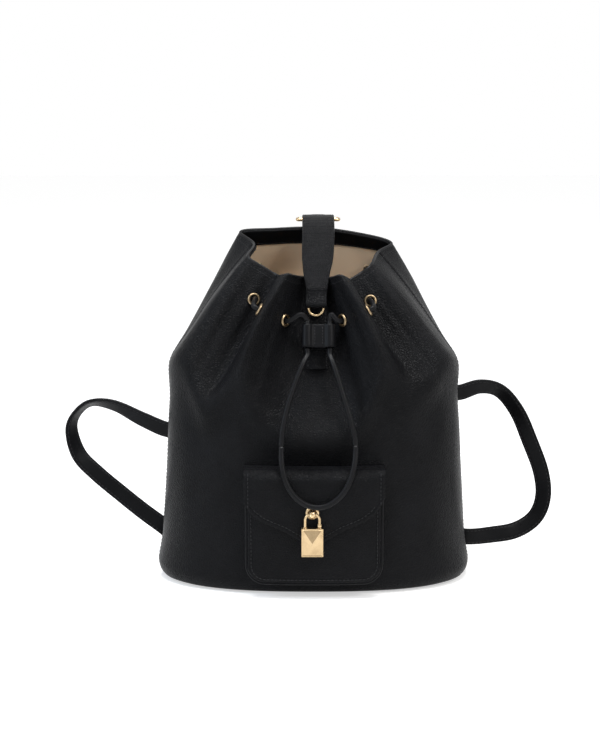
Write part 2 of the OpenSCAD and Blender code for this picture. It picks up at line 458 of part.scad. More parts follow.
// ---- padlock ----
lock_top = 61.8;
lock_y = grommet_y - eye_out;
leg_x = (shackle_width - shackle_wire) / 2;
pin_z = lock_top + 2.2;
pin_r = 0.6;
arch_z = grommet_z + 0.05;
leg_depth = 1.5;
module padlock_shackle() color(gold) difference() {
  union() {
    // the bow passes through the staple's eye
    translate([lock_x, lock_y, arch_z]) bow();
    bar([lock_x - leg_x, lock_y, lock_top - leg_depth], [lock_x - leg_x, lock_y, arch_z - bow_r], shackle_wire / 2);
    bar([lock_x + leg_x, lock_y, pin_z], [lock_x + leg_x, lock_y, arch_z - bow_r], shackle_wire / 2);
    translate([lock_x + leg_x, lock_y, pin_z]) rotate([90, 0, 0]) cylinder(r = 1.5, h = 1.5, center = true);
  }
  translate([lock_x + leg_x, lock_y, pin_z]) rotate([90, 0, 0]) cylinder(r = pin_r + 0.06, h = 8, center = true);
}
bow_r = leg_x - 1.2;
module bow() {
  bar([-1.2, 0, 0], [1.2, 0, 0], shackle_wire / 2);
  translate([1.2, 0, -bow_r]) rotate([90, 0, 0]) rotate_extrude(angle = 90) translate([bow_r, 0]) circle(shackle_wire / 2);
  translate([-1.2, 0, -bow_r]) rotate([90, 0, 0]) rotate([0, 0, 90]) rotate_extrude(angle = 90) translate([bow_r, 0]) circle(shackle_wire / 2);
}
module padlock_body() color(gold) translate([lock_x, lock_y, lock_top - lock_height]) difference() {
  union() {
    translate([0, 0, lock_height / 2]) cube([lock_width, lock_depth, lock_height], center = true);
    // faceted front
    polyhedron([[-lock_width / 2 + 0.6, -lock_depth / 2 + 0.1, 0.6], [lock_width / 2 - 0.6, -lock_depth / 2 + 0.1, 0.6], [lock_width / 2 - 0.6, -lock_depth / 2 + 0.1, lock_height - 0.6], [-lock_width / 2 + 0.6, -lock_depth / 2 + 0.1, lock_height - 0.6], [0, -lock_depth / 2 - lock_pyramid, lock_height / 2]],
      [[0, 4, 1], [1, 4, 2], [2, 4, 3], [3, 4, 0], [0, 1, 2, 3]]);
    for (s = [-1, 1]) translate([leg_x, s * 1.85, lock_height]) fork_cheek();
  }
  // slot that the loose leg swings out of
  translate([-leg_x, 0, lock_height - leg_depth - 1]) linear_extrude(6) {
    for (x = [-0.8, 0]) translate([x, 0]) circle(shackle_wire / 2 + 0.35);
    translate([-0.4, 0]) square([0.8, shackle_wire + 0.7], center = true);
  }
  translate([leg_x, 0, pin_z - lock_top + lock_height]) rotate([90, 0, 0]) cylinder(r = pin_r + 0.02, h = 10, center = true);
}
module fork_cheek() {
  translate([-1.5, -0.5, -0.2]) cube([3, 1, 2.4]);
  translate([0, 0.5, pin_z - lock_top]) rotate([90, 0, 0]) cylinder(r = 1.5, h = 1);
}
module padlock_pin() color(gold) translate([lock_x + leg_x, lock_y, pin_z]) rotate([90, 0, 0]) cylinder(r = pin_r, h = 5, center = true);

// ---- shoulder straps ----
function scaled(p) = [p[0] * bag_width / 262, p[1] * bag_depth / 150, p[2] * bag_height / 287];
strap_root = sewn_gap + strap_wall / 2 + 0.5;
module strap_patch() color(black) {
  cols = span_cols(-0.62, 0.62, 8);
  vs = [1.2, 1.3, 1.4, 1.5];
  gap = strap_root + strap_wall / 2 + 0.5;
  slab(grid_at(cols, vs, -gap - leather), grid_at(cols, vs, -gap));
}
low_z = 17;
low_x = 100;
function low_tangent(side) = let (h = 0.5, a = [side * low_x, wall_y(low_x, low_z), 0], b = [side * (low_x + h), wall_y(low_x + h, low_z), 0]) unit(b - a);
function low_normal(side) = let (t = low_tangent(side)) side * [-t[1], t[0], 0];
function low_point(side, along, out) = [side * low_x, wall_y(low_x, low_z), low_z] + low_tangent(side) * along + low_normal(side) * out;
low_seat = 3.6;
low_loop = lower_wire + ring_fit + leather;
low_far = 14;
module lower_tab(side) color(black) difference() {
  union() {
    bar(low_point(side, 4, low_seat) - [0, 0, 7], low_point(side, 4, low_seat) + [0, 0, 7], low_loop);
    ribbon([for (a = [3, -2, -8, -16, -24]) let (q = low_point(side, a, 0), x = abs(q[0]), w = wall_y(x, low_z)) a > -1 ? low_point(side, a, low_seat + 2) : [side * x, w, low_z] + low_normal(side) * 2.1],
      [for (k = [0 : 4]) low_normal(side)], [for (k = [0 : 4]) 14], leather);
  }
  bar(low_point(side, 4, low_seat) - [0, 0, 12], low_point(side, 4, low_seat) + [0, 0, 12], lower_wire + ring_fit);
}
module lower_ring(side) color(gold) {
  h = strap_width / 2 + 2.2;
  t = low_tangent(side);
  translate(low_point(side, 4, low_seat)) rotate([0, 0, atan2(t[1], t[0])]) {
    for (a = [0, low_far - 4]) translate([a, 0, -h]) cylinder(r = lower_wire, h = 2 * h);
    for (z = [-h, h]) {
      translate([0, 0, z]) rotate([0, 90, 0]) cylinder(r = lower_wire, h = low_far - 4);
      for (a = [0, low_far - 4]) translate([a, 0, z]) sphere(lower_wire);
    }
  }
}
module shoulder_strap(side, upper, faces) color(black) {
  loop = lower_wire + ring_fit + strap_wall;
  a = low_point(side, low_far, low_seat);
  pts = concat([for (r = [[0.2, 1.46], [0.24, 1.34], [0.32, 1.2], [0.5, 1.04]]) skin_in(-side * r[0], r[1], -strap_root)], [for (p = upper) scaled(p)], [low_point(side, low_far + 9, low_seat + strap_wall / 2 + 0.6), low_point(side, low_far + 1, low_seat + loop - strap_wall / 2)]);
  n = concat([for (k = [0 : 3]) [0, 1, 0.3]], faces, [low_normal(side), low_normal(side)]);
  difference() {
    union() {
      ribbon(smooth(pts, 2), smooth(n, 2), [for (k = [0 : 2 * len(pts)]) strap_width], strap_wall);
      bar(a - [0, 0, strap_width / 2 + 0.3], a + [0, 0, strap_width / 2 + 0.3], loop);
    }
    bar(a - [0, 0, 14], a + [0, 0, 14], lower_wire + ring_fit);
  }
}
left_route = [[-50, 72, 177], [-74, 68.5, 150], [-98, 61, 124], [-114, 60, 111], [-127, 61, 107.5], [-150, 66, 116], [-175, 72, 127], [-196, 74, 129], [-209, 73, 119], [-213, 70, 105], [-206, 65, 84], [-190, 61, 68], [-170, 57, 52], [-150, 52, 37], [-132, 47, 25]];
left_faces = [[-0.2, 1, 0], [-0.4, 1, 0], [-0.5, 1, 0], [-0.3, 1, 0.1], [-0.1, 1, 0.2], [0, 1, 0.4], [0, 1, 0.9], [-0.2, 0.5, 1], [-0.8, 0.5, 0.7], [-1, 0.8, 0.2], [-0.7, 1, -0.1], [-0.4, 1, -0.2], [-0.3, 1, -0.3], [-0.3, 1, -0.2], [-0.4, 1, -0.1]];
right_route = [[54, 71.5, 182], [78, 66.5, 162], [102, 58, 148], [116, 57, 143], [128, 60, 141], [147, 67, 145], [165, 71, 140], [180, 69, 122], [191, 66, 97], [201, 62, 70], [203, 58, 48], [196, 56, 30], [179, 53, 19], [156, 48, 16], [135, 42, 16]];
right_faces = [[0.2, 1, 0], [0.4, 1, 0], [0.5, 1, 0], [0.3, 1, 0.1], [0.1, 1, 0.2], [0.1, 1, 0.4], [0.3, 1, 0.5], [0.4, 1, 0.3], [0.3, 1, 0.1], [0.4, 1, 0], [0.5, 1, -0.2], [0.3, 1, -0.5], [0.1, 1, -0.4], [0.3, 1, -0.1], [0.4, 1, 0]];
module shoulder_strap_left() shoulder_strap(-1, left_route, left_faces);
module shoulder_strap_right() shoulder_strap(1, right_route, right_faces);
module lower_tab_left() lower_tab(-1);
module lower_tab_right() lower_tab(1);
module lower_ring_left() lower_ring(-1);
module lower_ring_right() lower_ring(1);

front_panel();
back_panel();
base_panel();
base_board();
lining();
top_facing();
slip_pocket();
front_eyelets();
back_eyelets();
drawcord();
front_tab();
tab_magnet();
top_ring();
ring_tab();
strap_patch();
shoulder_strap_left();
shoulder_strap_right();
lower_tab_left();
lower_tab_right();
lower_ring_left();
lower_ring_right();
pocket_front();
pocket_gusset();
flap_root();
pocket_magnet();
closure_strap();
strap_magnet();
pull_ring();
pocket_flap();
flap_magnet();
flap_grommet();
padlock_staple();
padlock_shackle();
padlock_body();
padlock_pin();
cord_slider();
drawcord_loop();
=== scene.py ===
"""Looks of a small leather drawstring backpack with a front pocket and a padlock charm."""

from __future__ import annotations

import logging
import math
from dataclasses import dataclass, field
from enum import Enum
from typing import Callable

import bmesh
import bpy
import numpy as np
from mathutils import Matrix, Vector

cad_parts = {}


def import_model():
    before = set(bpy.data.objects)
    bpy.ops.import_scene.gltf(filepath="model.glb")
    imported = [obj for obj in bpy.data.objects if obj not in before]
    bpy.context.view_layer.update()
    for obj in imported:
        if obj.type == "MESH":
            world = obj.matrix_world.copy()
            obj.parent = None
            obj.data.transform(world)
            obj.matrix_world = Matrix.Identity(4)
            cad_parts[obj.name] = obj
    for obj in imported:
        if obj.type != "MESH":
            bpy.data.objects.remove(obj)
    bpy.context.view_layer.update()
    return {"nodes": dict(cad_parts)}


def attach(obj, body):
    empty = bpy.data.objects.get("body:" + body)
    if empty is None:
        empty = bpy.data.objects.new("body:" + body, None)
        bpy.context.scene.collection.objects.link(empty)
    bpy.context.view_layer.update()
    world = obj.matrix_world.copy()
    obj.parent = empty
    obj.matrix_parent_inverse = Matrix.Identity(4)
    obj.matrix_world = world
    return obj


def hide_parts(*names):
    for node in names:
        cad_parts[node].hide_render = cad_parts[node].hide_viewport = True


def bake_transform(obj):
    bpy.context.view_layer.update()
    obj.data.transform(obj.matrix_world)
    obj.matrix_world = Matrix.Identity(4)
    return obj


LOG = logging.getLogger("backpack")
MM = 0.001
Array = np.ndarray


class Outward(Enum):
    """Which way the faces of an open sheet look."""

    AXIS = "away from the bag's upright axis"
    INWARD = "towards the bag's upright axis"
    FRONT = "towards the front"
    UP = "upwards"
    CLOSED = "out of a closed shape"


class Ends(Enum):
    """What happens to the ends of a swept piece."""

    OPEN = "left open"
    CAPPED = "closed by a cap"
    JOINED = "joined into a ring"


# ---- curves and frames ----
def curve4(a: Array, b: Array, c: Array, d: Array, t: Array) -> Array:
    """Even curve from b to c, with a and d as its neighbours.

    Args:
        a, b, c, d: four places in a row.
        t: how far along from b to c, 0 to 1.

    Returns:
        The places on the curve.
    """
    return 0.5 * (2 * b + (c - a) * t + (2 * a - 5 * b + 4 * c - d) * t * t + (3 * b - a - 3 * c + d) * t * t * t)


def unit(v: Array) -> Array:
    """Vectors of length one in the same directions."""
    v = np.asarray(v, float)
    return v / np.maximum(np.linalg.norm(v, axis=-1, keepdims=True), 1e-9)


def smooth_line(points: list | Array, steps: int) -> Array:
    """Even line through points.

    Args:
        points: the places that the line passes through.
        steps: pieces between two places.

    Returns:
        The denser line.
    """
    p = np.asarray(points, float)
    out = []
    for i in range(len(p) - 1):
        a = p[i - 1] if i else 2 * p[0] - p[1]
        d = p[i + 2] if i < len(p) - 2 else 2 * p[i + 1] - p[i]
        out += [curve4(a, p[i], p[i + 1], d, k / steps) for k in range(steps)]
    return np.array(out + [p[-1]])


def even_line(points: Array, gap: float) -> Array:
    """The same line with its places an equal gap apart."""
    p = np.asarray(points, float)
    run = np.concatenate([[0], np.cumsum(np.linalg.norm(np.diff(p, axis=0), axis=1))])
    at = np.linspace(0, run[-1], max(2, int(round(run[-1] / gap)) + 1))
    return np.stack([np.interp(at, run, p[:, k]) for k in range(p.shape[1])], 1)


def line_length(points: Array) -> float:
    """Length of a line of places."""
    return float(np.linalg.norm(np.diff(points, axis=0), axis=1).sum())


def headings(p: Array, ring: bool = False) -> Array:
    """Direction of travel at each place of a line."""
    if ring:
        return unit(np.roll(p, -1, 0) - np.roll(p, 1, 0))
    return unit(np.gradient(p, axis=0))


def carried_faces(p: Array, first: Array) -> Array:
    """Side directions carried along a line without twist, beginning near first."""
    t = headings(p)
    out = []
    u = np.asarray(first, float)
    for k in range(len(p)):
        u = unit(u - t[k] * float(u @ t[k]))
        out.append(u)
    return np.array(out)


# ---- meshes ----
def sheet_mesh(name: str, points: Array, outward: Outward, ring: bool = False, span: tuple[float, float] = (1.0, 1.0), rounds: bool = False, caps: bool = False) -> bpy.types.Object:
    """A sheet whose grid of corners lies at given places.

    Args:
        name: name of the piece.
        points: grid of places in millimetres, [column][row].
        outward: which way its faces look.
        ring: whether the last column joins the first.
        span: length along the columns and rows, for its UV map, in millimetres.
        rounds: whether the last row joins the first.
        caps: whether open ends are closed.

    Returns:
        The new object.
    """
    a, b = points.shape[:2]
    bm = bmesh.new()
    bmesh.ops.create_grid(bm, x_segments=a - 1, y_segments=b - 1, size=0.5)
    uv = bm.loops.layers.uv.new("UVMap")
    for f in bm.faces:
        for loop in f.loops:
            loop[uv].uv = ((loop.vert.co.x + 0.5) * span[0] / 10, (loop.vert.co.y + 0.5) * span[1] / 10)
    for v in bm.verts:
        i, j = round((v.co.x + 0.5) * (a - 1)), round((v.co.y + 0.5) * (b - 1))
        v.co = Vector(points[i, j]) * MM
    if ring or rounds:
        bmesh.ops.remove_doubles(bm, verts=bm.verts, dist=2e-6)
    if caps:
        bmesh.ops.holes_fill(bm, edges=[e for e in bm.edges if e.is_boundary], sides=0)
    bmesh.ops.recalc_face_normals(bm, faces=bm.faces)
    if outward is not Outward.CLOSED:
        total = 0.0
        for f in bm.faces:
            c = f.calc_center_median()
            way = {Outward.AXIS: Vector((c.x, c.y, 0)), Outward.INWARD: Vector((-c.x, -c.y, 0)), Outward.FRONT: Vector((0, -1, 0)), Outward.UP: Vector((0, 0, 1))}[outward]
            total += f.normal.dot(way) * f.calc_area()
        if total < 0:
            bmesh.ops.reverse_faces(bm, faces=bm.faces)
    return from_bmesh(name, bm)


def from_bmesh(name: str, bm: bmesh.types.BMesh, smooth: bool = True) -> bpy.types.Object:
    """Puts a bmesh into a new object of the scene."""
    mesh = bpy.data.meshes.new(name)
    for f in bm.faces:
        f.smooth = smooth
    bm.to_mesh(mesh)
    bm.free()
    obj = bpy.data.objects.new(name, mesh)
    bpy.context.scene.collection.objects.link(obj)
    return obj


def swept(name: str, path: Array, faces: Array, outline: Array, widths: Array | float = 1.0, heights: Array | float = 1.0, ends: Ends = Ends.CAPPED) -> bpy.types.Object:
    """An outline carried along a path.

    Args:
        name: name of the piece.
        path: places in millimetres.
        faces: the way the outline's second axis looks at each place.
        outline: closed outline, across and up, in millimetres.
        widths: factor across at each place.
        heights: factor up at each place.
        ends: what happens to the ends.

    Returns:
        The new object.
    """
    ring = ends is Ends.JOINED
    t = headings(path, ring)
    side = unit(np.cross(faces, t))
    up = np.cross(t, side)
    w = np.broadcast_to(np.asarray(widths, float), (len(path),))[:, None, None]
    h = np.broadcast_to(np.asarray(heights, float), (len(path),))[:, None, None]
    o = np.vstack([outline, outline[:1]])
    pts = path[:, None, :] + side[:, None, :] * o[None, :, 0:1] * w + up[:, None, :] * o[None, :, 1:2] * h
    if ring:
        pts = np.concatenate([pts, pts[:1]], 0)
    around = line_length(o)
    return sheet_mesh(name, pts, Outward.CLOSED, ring=ring, rounds=True, caps=not ring, span=(line_length(path), around))


def circle(r: float, sides: int = 14) -> Array:
    """Closed round outline."""
    a = np.linspace(0, 2 * math.pi, sides, endpoint=False)
    return np.stack([np.cos(a) * r, np.sin(a) * r], 1)


def strap_outline(width: float, thick: float, crown: float = 0.3, edge: float = 0.8) -> Array:
    """Outline of a flat strap with rounded edges, a crowned top and a pressed line along each edge."""
    h, w = thick / 2, width / 2
    half = [(-w, 0.0), (-w + 0.25 * edge, h * 0.62), (-w + edge, h * 0.98), (-w + 1.7 * edge, h), (-w + 2.1 * edge, h - 0.22), (-w + 2.6 * edge, h + crown * 0.2), (-w * 0.5, h + crown * 0.8), (0.0, h + crown)]
    top = half + [(-x, y) for x, y in half[-2::-1]]
    low = [(x, -min(y, h)) for x, y in top[-2:0:-1]]
    return np.array(top + low)


def cord_outline(r: float) -> Array:
    """Outline of a folded lace: two rounded lobes with a groove between them, on the side that faces out."""
    a = np.linspace(0, 2 * math.pi, 20, endpoint=False)
    groove = 0.2 * np.exp(-((a - math.pi / 2) / 0.3) ** 2)
    k = r * (1 - groove)
    return np.stack([np.cos(a) * k, np.sin(a) * k], 1)


def lathe(name: str, outline: list[tuple[float, float]], place: Matrix, steps: int = 40) -> bpy.types.Object:
    """A turned piece.

    Args:
        name: name of the piece.
        outline: radius and height of each corner, in millimetres, round a closed outline or from pole to pole.
        place: where its base and axis go, in metres.
        steps: faces round it.

    Returns:
        The new object.
    """
    bm = bmesh.new()
    verts = [bm.verts.new((r * MM, 0, z * MM)) for r, z in outline]
    edges = [bm.edges.new((verts[k], verts[k + 1])) for k in range(len(verts) - 1)]
    if outline[0][0] > 1e-6:
        edges.append(bm.edges.new((verts[-1], verts[0])))
    bmesh.ops.spin(bm, geom=verts + edges, cent=(0, 0, 0), axis=(0, 0, 1), angle=2 * math.pi, steps=steps, use_merge=True)
    bmesh.ops.remove_doubles(bm, verts=bm.verts, dist=1e-6)
    bmesh.ops.recalc_face_normals(bm, faces=bm.faces)
    bmesh.ops.transform(bm, matrix=place, verts=bm.verts)
    return from_bmesh(name, bm)


def stitches(name: str, path: Array, ups: Array, pitch: float = 3.2, length: float = 2.5, radius: float = 0.36) -> bpy.types.Object:
    """A row of thread stitches lying on a line.

    Args:
        name: name of the piece.
        path: places on the surface, in millimetres.
        ups: direction out of the surface at each place.
        pitch: distance between stitches.
        length: length of one stitch.
        radius: half its thickness.

    Returns:
        One object that holds the whole row.
    """
    both = even_line(np.hstack([path, ups]), 1.0)
    run = np.concatenate([[0], np.cumsum(np.linalg.norm(np.diff(both[:, :3], axis=0), axis=1))])
    at = np.arange(pitch / 2, run[-1], pitch)
    p = np.stack([np.interp(at, run, both[:, k]) for k in range(3)], 1)
    n = unit(np.stack([np.interp(at, run, both[:, 3 + k]) for k in range(3)], 1))
    ahead = np.stack([np.interp(np.minimum(at + 0.5, run[-1]), run, both[:, k]) for k in range(3)], 1)
    behind = np.stack([np.interp(np.maximum(at - 0.5, 0), run, both[:, k]) for k in range(3)], 1)
    t = unit(ahead - behind)
    bm = bmesh.new()
    for k in range(len(p)):
        side = unit(np.cross(n[k], t[k]))
        up = np.cross(t[k], side)
        m = Matrix([[t[k][i] * length / 2, side[i] * radius, up[i] * radius, p[k][i]] for i in range(3)] + [[0, 0, 0, 1]])
        m = Matrix.Diagonal((MM, MM, MM, 1)) @ m
        bmesh.ops.create_uvsphere(bm, u_segments=6, v_segments=4, radius=1.0, matrix=m @ Matrix.Rotation(math.pi / 2, 4, "Y"))
    bmesh.ops.recalc_face_normals(bm, faces=bm.faces)
    return from_bmesh(name, bm)


def thicken(obj: bpy.types.Object, thickness: float, offset: float = -1.0, bevel: float = 0.0) -> None:
    """Gives a sheet its wall, and a small round along its edges, both applied."""
    mod = obj.modifiers.new("wall", "SOLIDIFY")
    mod.thickness, mod.offset, mod.use_even_offset = thickness * MM, offset, False
    if bevel:
        soft = obj.modifiers.new("edge", "BEVEL")
        soft.width, soft.segments, soft.limit_method, soft.angle_limit = bevel * MM, 2, "ANGLE", math.radians(60)
    apply_modifiers(obj)


def apply_modifiers(obj: bpy.types.Object) -> None:
    """Replaces an object's mesh by the one its modifiers make."""
    graph = bpy.context.evaluated_depsgraph_get()
    made = bpy.data.meshes.new_from_object(obj.evaluated_get(graph), depsgraph=graph)
    old = obj.data
    obj.modifiers.clear()
    obj.data = made
    made.name = obj.name
    bpy.data.meshes.remove(old)
    for p in obj.data.polygons:
        p.use_smooth = True


# ---- finishes ----
class Nodes:
    """Short way to fill a node tree."""

    def __init__(self, tree: bpy.types.NodeTree) -> None:
        """Keeps the tree that is filled."""
        self.tree = tree

    def add(self, kind: str, **values: object) -> bpy.types.Node:
        """Adds a node.

        Args:
            kind: its type name without the ShaderNode prefix.
            values: properties, or input values by socket name with spaces as underscores.

        Returns:
            The node.
        """
        full = kind if kind.startswith("NodeGroup") else "ShaderNode" + kind
        node = self.tree.nodes.new(full)
        for key, value in values.items():
            if hasattr(node, key) and key not in ("inputs", "outputs"):
                setattr(node, key, value)
            else:
                node.inputs[key.replace("_", " ")].default_value = value
        return node

    def link(self, a: bpy.types.NodeSocket, b: bpy.types.NodeSocket) -> None:
        """Joins an output to an input."""
        self.tree.links.new(a, b)

    def math(self, operation: str, a: object, b: object = 0.0) -> bpy.types.NodeSocket:
        """A math node's result from sockets or numbers."""
        node = self.tree.nodes.new("ShaderNodeMath")
        node.operation = operation
        for k, value in enumerate((a, b)):
            if isinstance(value, bpy.types.NodeSocket):
                self.link(value, node.inputs[k])
            else:
                node.inputs[k].default_value = value
        return node.outputs[0]

    def ranged(self, value: bpy.types.NodeSocket, a: float, b: float, low: float, high: float) -> bpy.types.NodeSocket:
        """Carries a value from the range a to b into the range low to high."""
        node = self.tree.nodes.new("ShaderNodeMapRange")
        for k, v in zip((1, 2, 3, 4), (a, b, low, high)):
            node.inputs[k].default_value = v
        self.link(value, node.inputs[0])
        return node.outputs[0]

    def mix(self, factor: bpy.types.NodeSocket | float, a: object, b: object) -> bpy.types.NodeSocket:
        """A colour between two colours or sockets."""
        node = self.tree.nodes.new("ShaderNodeMix")
        node.data_type = "RGBA"
        for k, value in ((0, factor), (6, a), (7, b)):
            if isinstance(value, bpy.types.NodeSocket):
                self.link(value, node.inputs[k])
            else:
                node.inputs[k].default_value = value
        return node.outputs[2]


def new_group(name: str, inputs: dict[str, float], outputs: dict[str, str]) -> tuple[bpy.types.NodeTree, Nodes, bpy.types.Node, bpy.types.Node]:
    """An empty shader group with named sockets.

    Args:
        name: name of the group.
        inputs: number inputs and their values.
        outputs: outputs and their socket kinds.

    Returns:
        The group, its filler, and its input and output nodes.
    """
    tree = bpy.data.node_groups.new(name, "ShaderNodeTree")
    for key, value in inputs.items():
        tree.interface.new_socket(name=key, in_out="INPUT", socket_type="NodeSocketFloat").default_value = value
    for key, kind in outputs.items():
        tree.interface.new_socket(name=key, in_out="OUTPUT", socket_type=kind)
    n = Nodes(tree)
    return tree, n, tree.nodes.new("NodeGroupInput"), tree.nodes.new("NodeGroupOutput")


class Effects:
    """The shared effects: leather grain, mottle, weave and fine scratches."""

    def __init__(self) -> None:
        """Builds each group once."""
        self.grain = self._grain()
        self.mottle = self._mottle()
        self.weave = self._weave()
        self.scratch = self._scratch()

    @staticmethod
    def _grain() -> bpy.types.NodeTree:
        """Pebbled grain: rounded cells with pressed lines between them, uneven in size."""
        tree, n, gin, gout = new_group("leather_grain", {"Scale": 560.0, "Warp": 0.0006, "Fine": 0.25}, {"Height": "NodeSocketFloat", "Valley": "NodeSocketFloat"})
        co = n.add("TexCoord").outputs["Object"]
        warp = n.add("TexNoise", Scale=260.0, Detail=2.0)
        n.link(co, warp.inputs["Vector"])
        centred = n.add("VectorMath", operation="SUBTRACT")
        n.link(warp.outputs["Color"], centred.inputs[0])
        centred.inputs[1].default_value = (0.5, 0.5, 0.5)
        sized = n.add("VectorMath", operation="SCALE")
        n.link(centred.outputs[0], sized.inputs[0])
        n.link(gin.outputs["Warp"], sized.inputs["Scale"])
        moved = n.add("VectorMath", operation="ADD")
        n.link(co, moved.inputs[0])
        n.link(sized.outputs[0], moved.inputs[1])
        cells = n.add("TexVoronoi", feature="DISTANCE_TO_EDGE")
        n.link(moved.outputs[0], cells.inputs["Vector"])
        n.link(gin.outputs["Scale"], cells.inputs["Scale"])
        dome = n.ranged(cells.outputs["Distance"], 0.0, 0.34, 0.0, 1.0)
        dome = n.math("POWER", dome, 0.55)
        big = n.add("TexVoronoi", feature="SMOOTH_F1")
        big.inputs["Smoothness"].default_value = 0.6
        n.link(moved.outputs[0], big.inputs["Vector"])
        n.link(n.math("MULTIPLY", gin.outputs["Scale"], 0.42), big.inputs["Scale"])
        fine = n.add("TexNoise", Detail=3.0)
        n.link(co, fine.inputs["Vector"])
        n.link(n.math("MULTIPLY", gin.outputs["Scale"], 3.1), fine.inputs["Scale"])
        height = n.math("ADD", dome, n.math("MULTIPLY", big.outputs["Distance"], -0.5))
        height = n.math("ADD", height, n.math("MULTIPLY", fine.outputs[0], gin.outputs["Fine"]))
        n.link(height, gout.inputs["Height"])
        # Valley marks the pressed lines between cells; leather finishes roughen them and paint shade into their colour
        # there.
        n.link(n.ranged(dome, 0.35, 0.0, 0.0, 1.0), gout.inputs["Valley"])
        return tree

    @staticmethod
    def _mottle() -> bpy.types.NodeTree:
        """Slow cloudy variation and sparse spots, as handled surfaces have."""
        tree, n, gin, gout = new_group("slow_mottle", {"Scale": 22.0}, {"Cloud": "NodeSocketFloat", "Spots": "NodeSocketFloat"})
        co = n.add("TexCoord").outputs["Object"]
        cloud = n.add("TexNoise", Detail=4.0, Roughness=0.6)
        n.link(co, cloud.inputs["Vector"])
        n.link(gin.outputs["Scale"], cloud.inputs["Scale"])
        spots = n.add("TexNoise", Detail=2.0)
        n.link(co, spots.inputs["Vector"])
        n.link(n.math("MULTIPLY", gin.outputs["Scale"], 14.0), spots.inputs["Scale"])
        n.link(n.ranged(cloud.outputs[0], 0.3, 0.7, 0.0, 1.0), gout.inputs["Cloud"])
        n.link(n.ranged(spots.outputs[0], 0.55, 0.75, 0.0, 1.0), gout.inputs["Spots"])
        return tree

    @staticmethod
    def _weave() -> bpy.types.NodeTree:
        """Plain weave of two crossing threads on the piece's own UV map."""
        tree, n, gin, gout = new_group("cloth_weave", {"Threads": 14.0}, {"Height": "NodeSocketFloat", "Thread": "NodeSocketFloat"})
        uv = n.add("TexCoord").outputs["UV"]
        split = n.add("SeparateXYZ")
        n.link(uv, split.inputs[0])
        waves = []
        for axis in (0, 1):
            angle = n.math("MULTIPLY", n.math("MULTIPLY", split.outputs[axis], gin.outputs["Threads"]), math.pi)
            waves.append(n.math("SINE", angle))
        over = n.math("MULTIPLY", waves[0], waves[1])
        height = n.ranged(over, -1.0, 1.0, 0.0, 1.0)
        noise = n.add("TexNoise", Scale=60.0, Detail=3.0)
        n.link(uv, noise.inputs["Vector"])
        n.link(n.math("ADD", height, n.math("MULTIPLY", noise.outputs[0], 0.6)), gout.inputs["Height"])
        n.link(noise.outputs[0], gout.inputs["Thread"])
        return tree

    @staticmethod
    def _scratch() -> bpy.types.NodeTree:
        """Fine hairlines and smudges on polished metal."""
        tree, n, gin, gout = new_group("metal_handling", {"Scale": 300.0}, {"Smudge": "NodeSocketFloat", "Height": "NodeSocketFloat"})
        co = n.add("TexCoord").outputs["Object"]
        stretch = n.add("Mapping")
        stretch.inputs["Scale"].default_value = (1.0, 1.0, 9.0)
        stretch.inputs["Rotation"].default_value = (0.3, 0.5, 0.8)
        n.link(co, stretch.inputs["Vector"])
        hair = n.add("TexNoise", Detail=2.0)
        n.link(stretch.outputs[0], hair.inputs["Vector"])
        n.link(gin.outputs["Scale"], hair.inputs["Scale"])
        smudge = n.add("TexNoise", Detail=3.0)
        n.link(co, smudge.inputs["Vector"])
        n.link(n.math("MULTIPLY", gin.outputs["Scale"], 0.5), smudge.inputs["Scale"])
        n.link(n.ranged(smudge.outputs[0], 0.35, 0.7, 0.0, 1.0), gout.inputs["Smudge"])
        n.link(hair.outputs[0], gout.inputs["Height"])
        return tree


@dataclass(frozen=True)
class Leather:
    """A leather finish: its colour, sheen and the size of its grain."""

    name: str
    colour: tuple[float, float, float] = (0.0032, 0.0033, 0.0038)
    worn: tuple[float, float, float] = (0.0062, 0.0064, 0.0073)
    rough: tuple[float, float] = (0.29, 0.40)
    shine: float = 0.055
    scale: float = 520.0
    depth: float = 0.00036
    strength: float = 0.9

    def build(self, effects: Effects) -> bpy.types.Material:
        """Makes the material with the shared effects."""
        mat = bpy.data.materials.new(self.name)
        mat.use_nodes = True
        n = Nodes(mat.node_tree)
        bsdf = mat.node_tree.nodes["Principled BSDF"]
        grain = n.add("Group")
        grain.node_tree = effects.grain
        grain.inputs["Scale"].default_value = self.scale
        cloud = n.add("Group")
        cloud.node_tree = effects.mottle
        colour = n.mix(cloud.outputs["Cloud"], (*self.colour, 1), (*self.worn, 1))
        # Painted shade: the colour darkens to 0.55 of itself in the pressed lines between the grain's cells.
        painted_valley_shade = tuple(c * 0.55 for c in self.colour)
        colour = n.mix(grain.outputs["Valley"], colour, (*painted_valley_shade, 1))
        n.link(colour, bsdf.inputs["Base Color"])
        rough = n.ranged(cloud.outputs["Cloud"], 0.0, 1.0, self.rough[0], self.rough[1])
        rough = n.math("ADD", rough, n.math("MULTIPLY", grain.outputs["Valley"], 0.2))
        n.link(rough, bsdf.inputs["Roughness"])
        bump = n.add("Bump", Strength=self.strength, Distance=self.depth)
        n.link(grain.outputs["Height"], bump.inputs["Height"])
        n.link(bump.outputs[0], bsdf.inputs["Normal"])
        bsdf.inputs["Specular IOR Level"].default_value = self.shine
        return mat


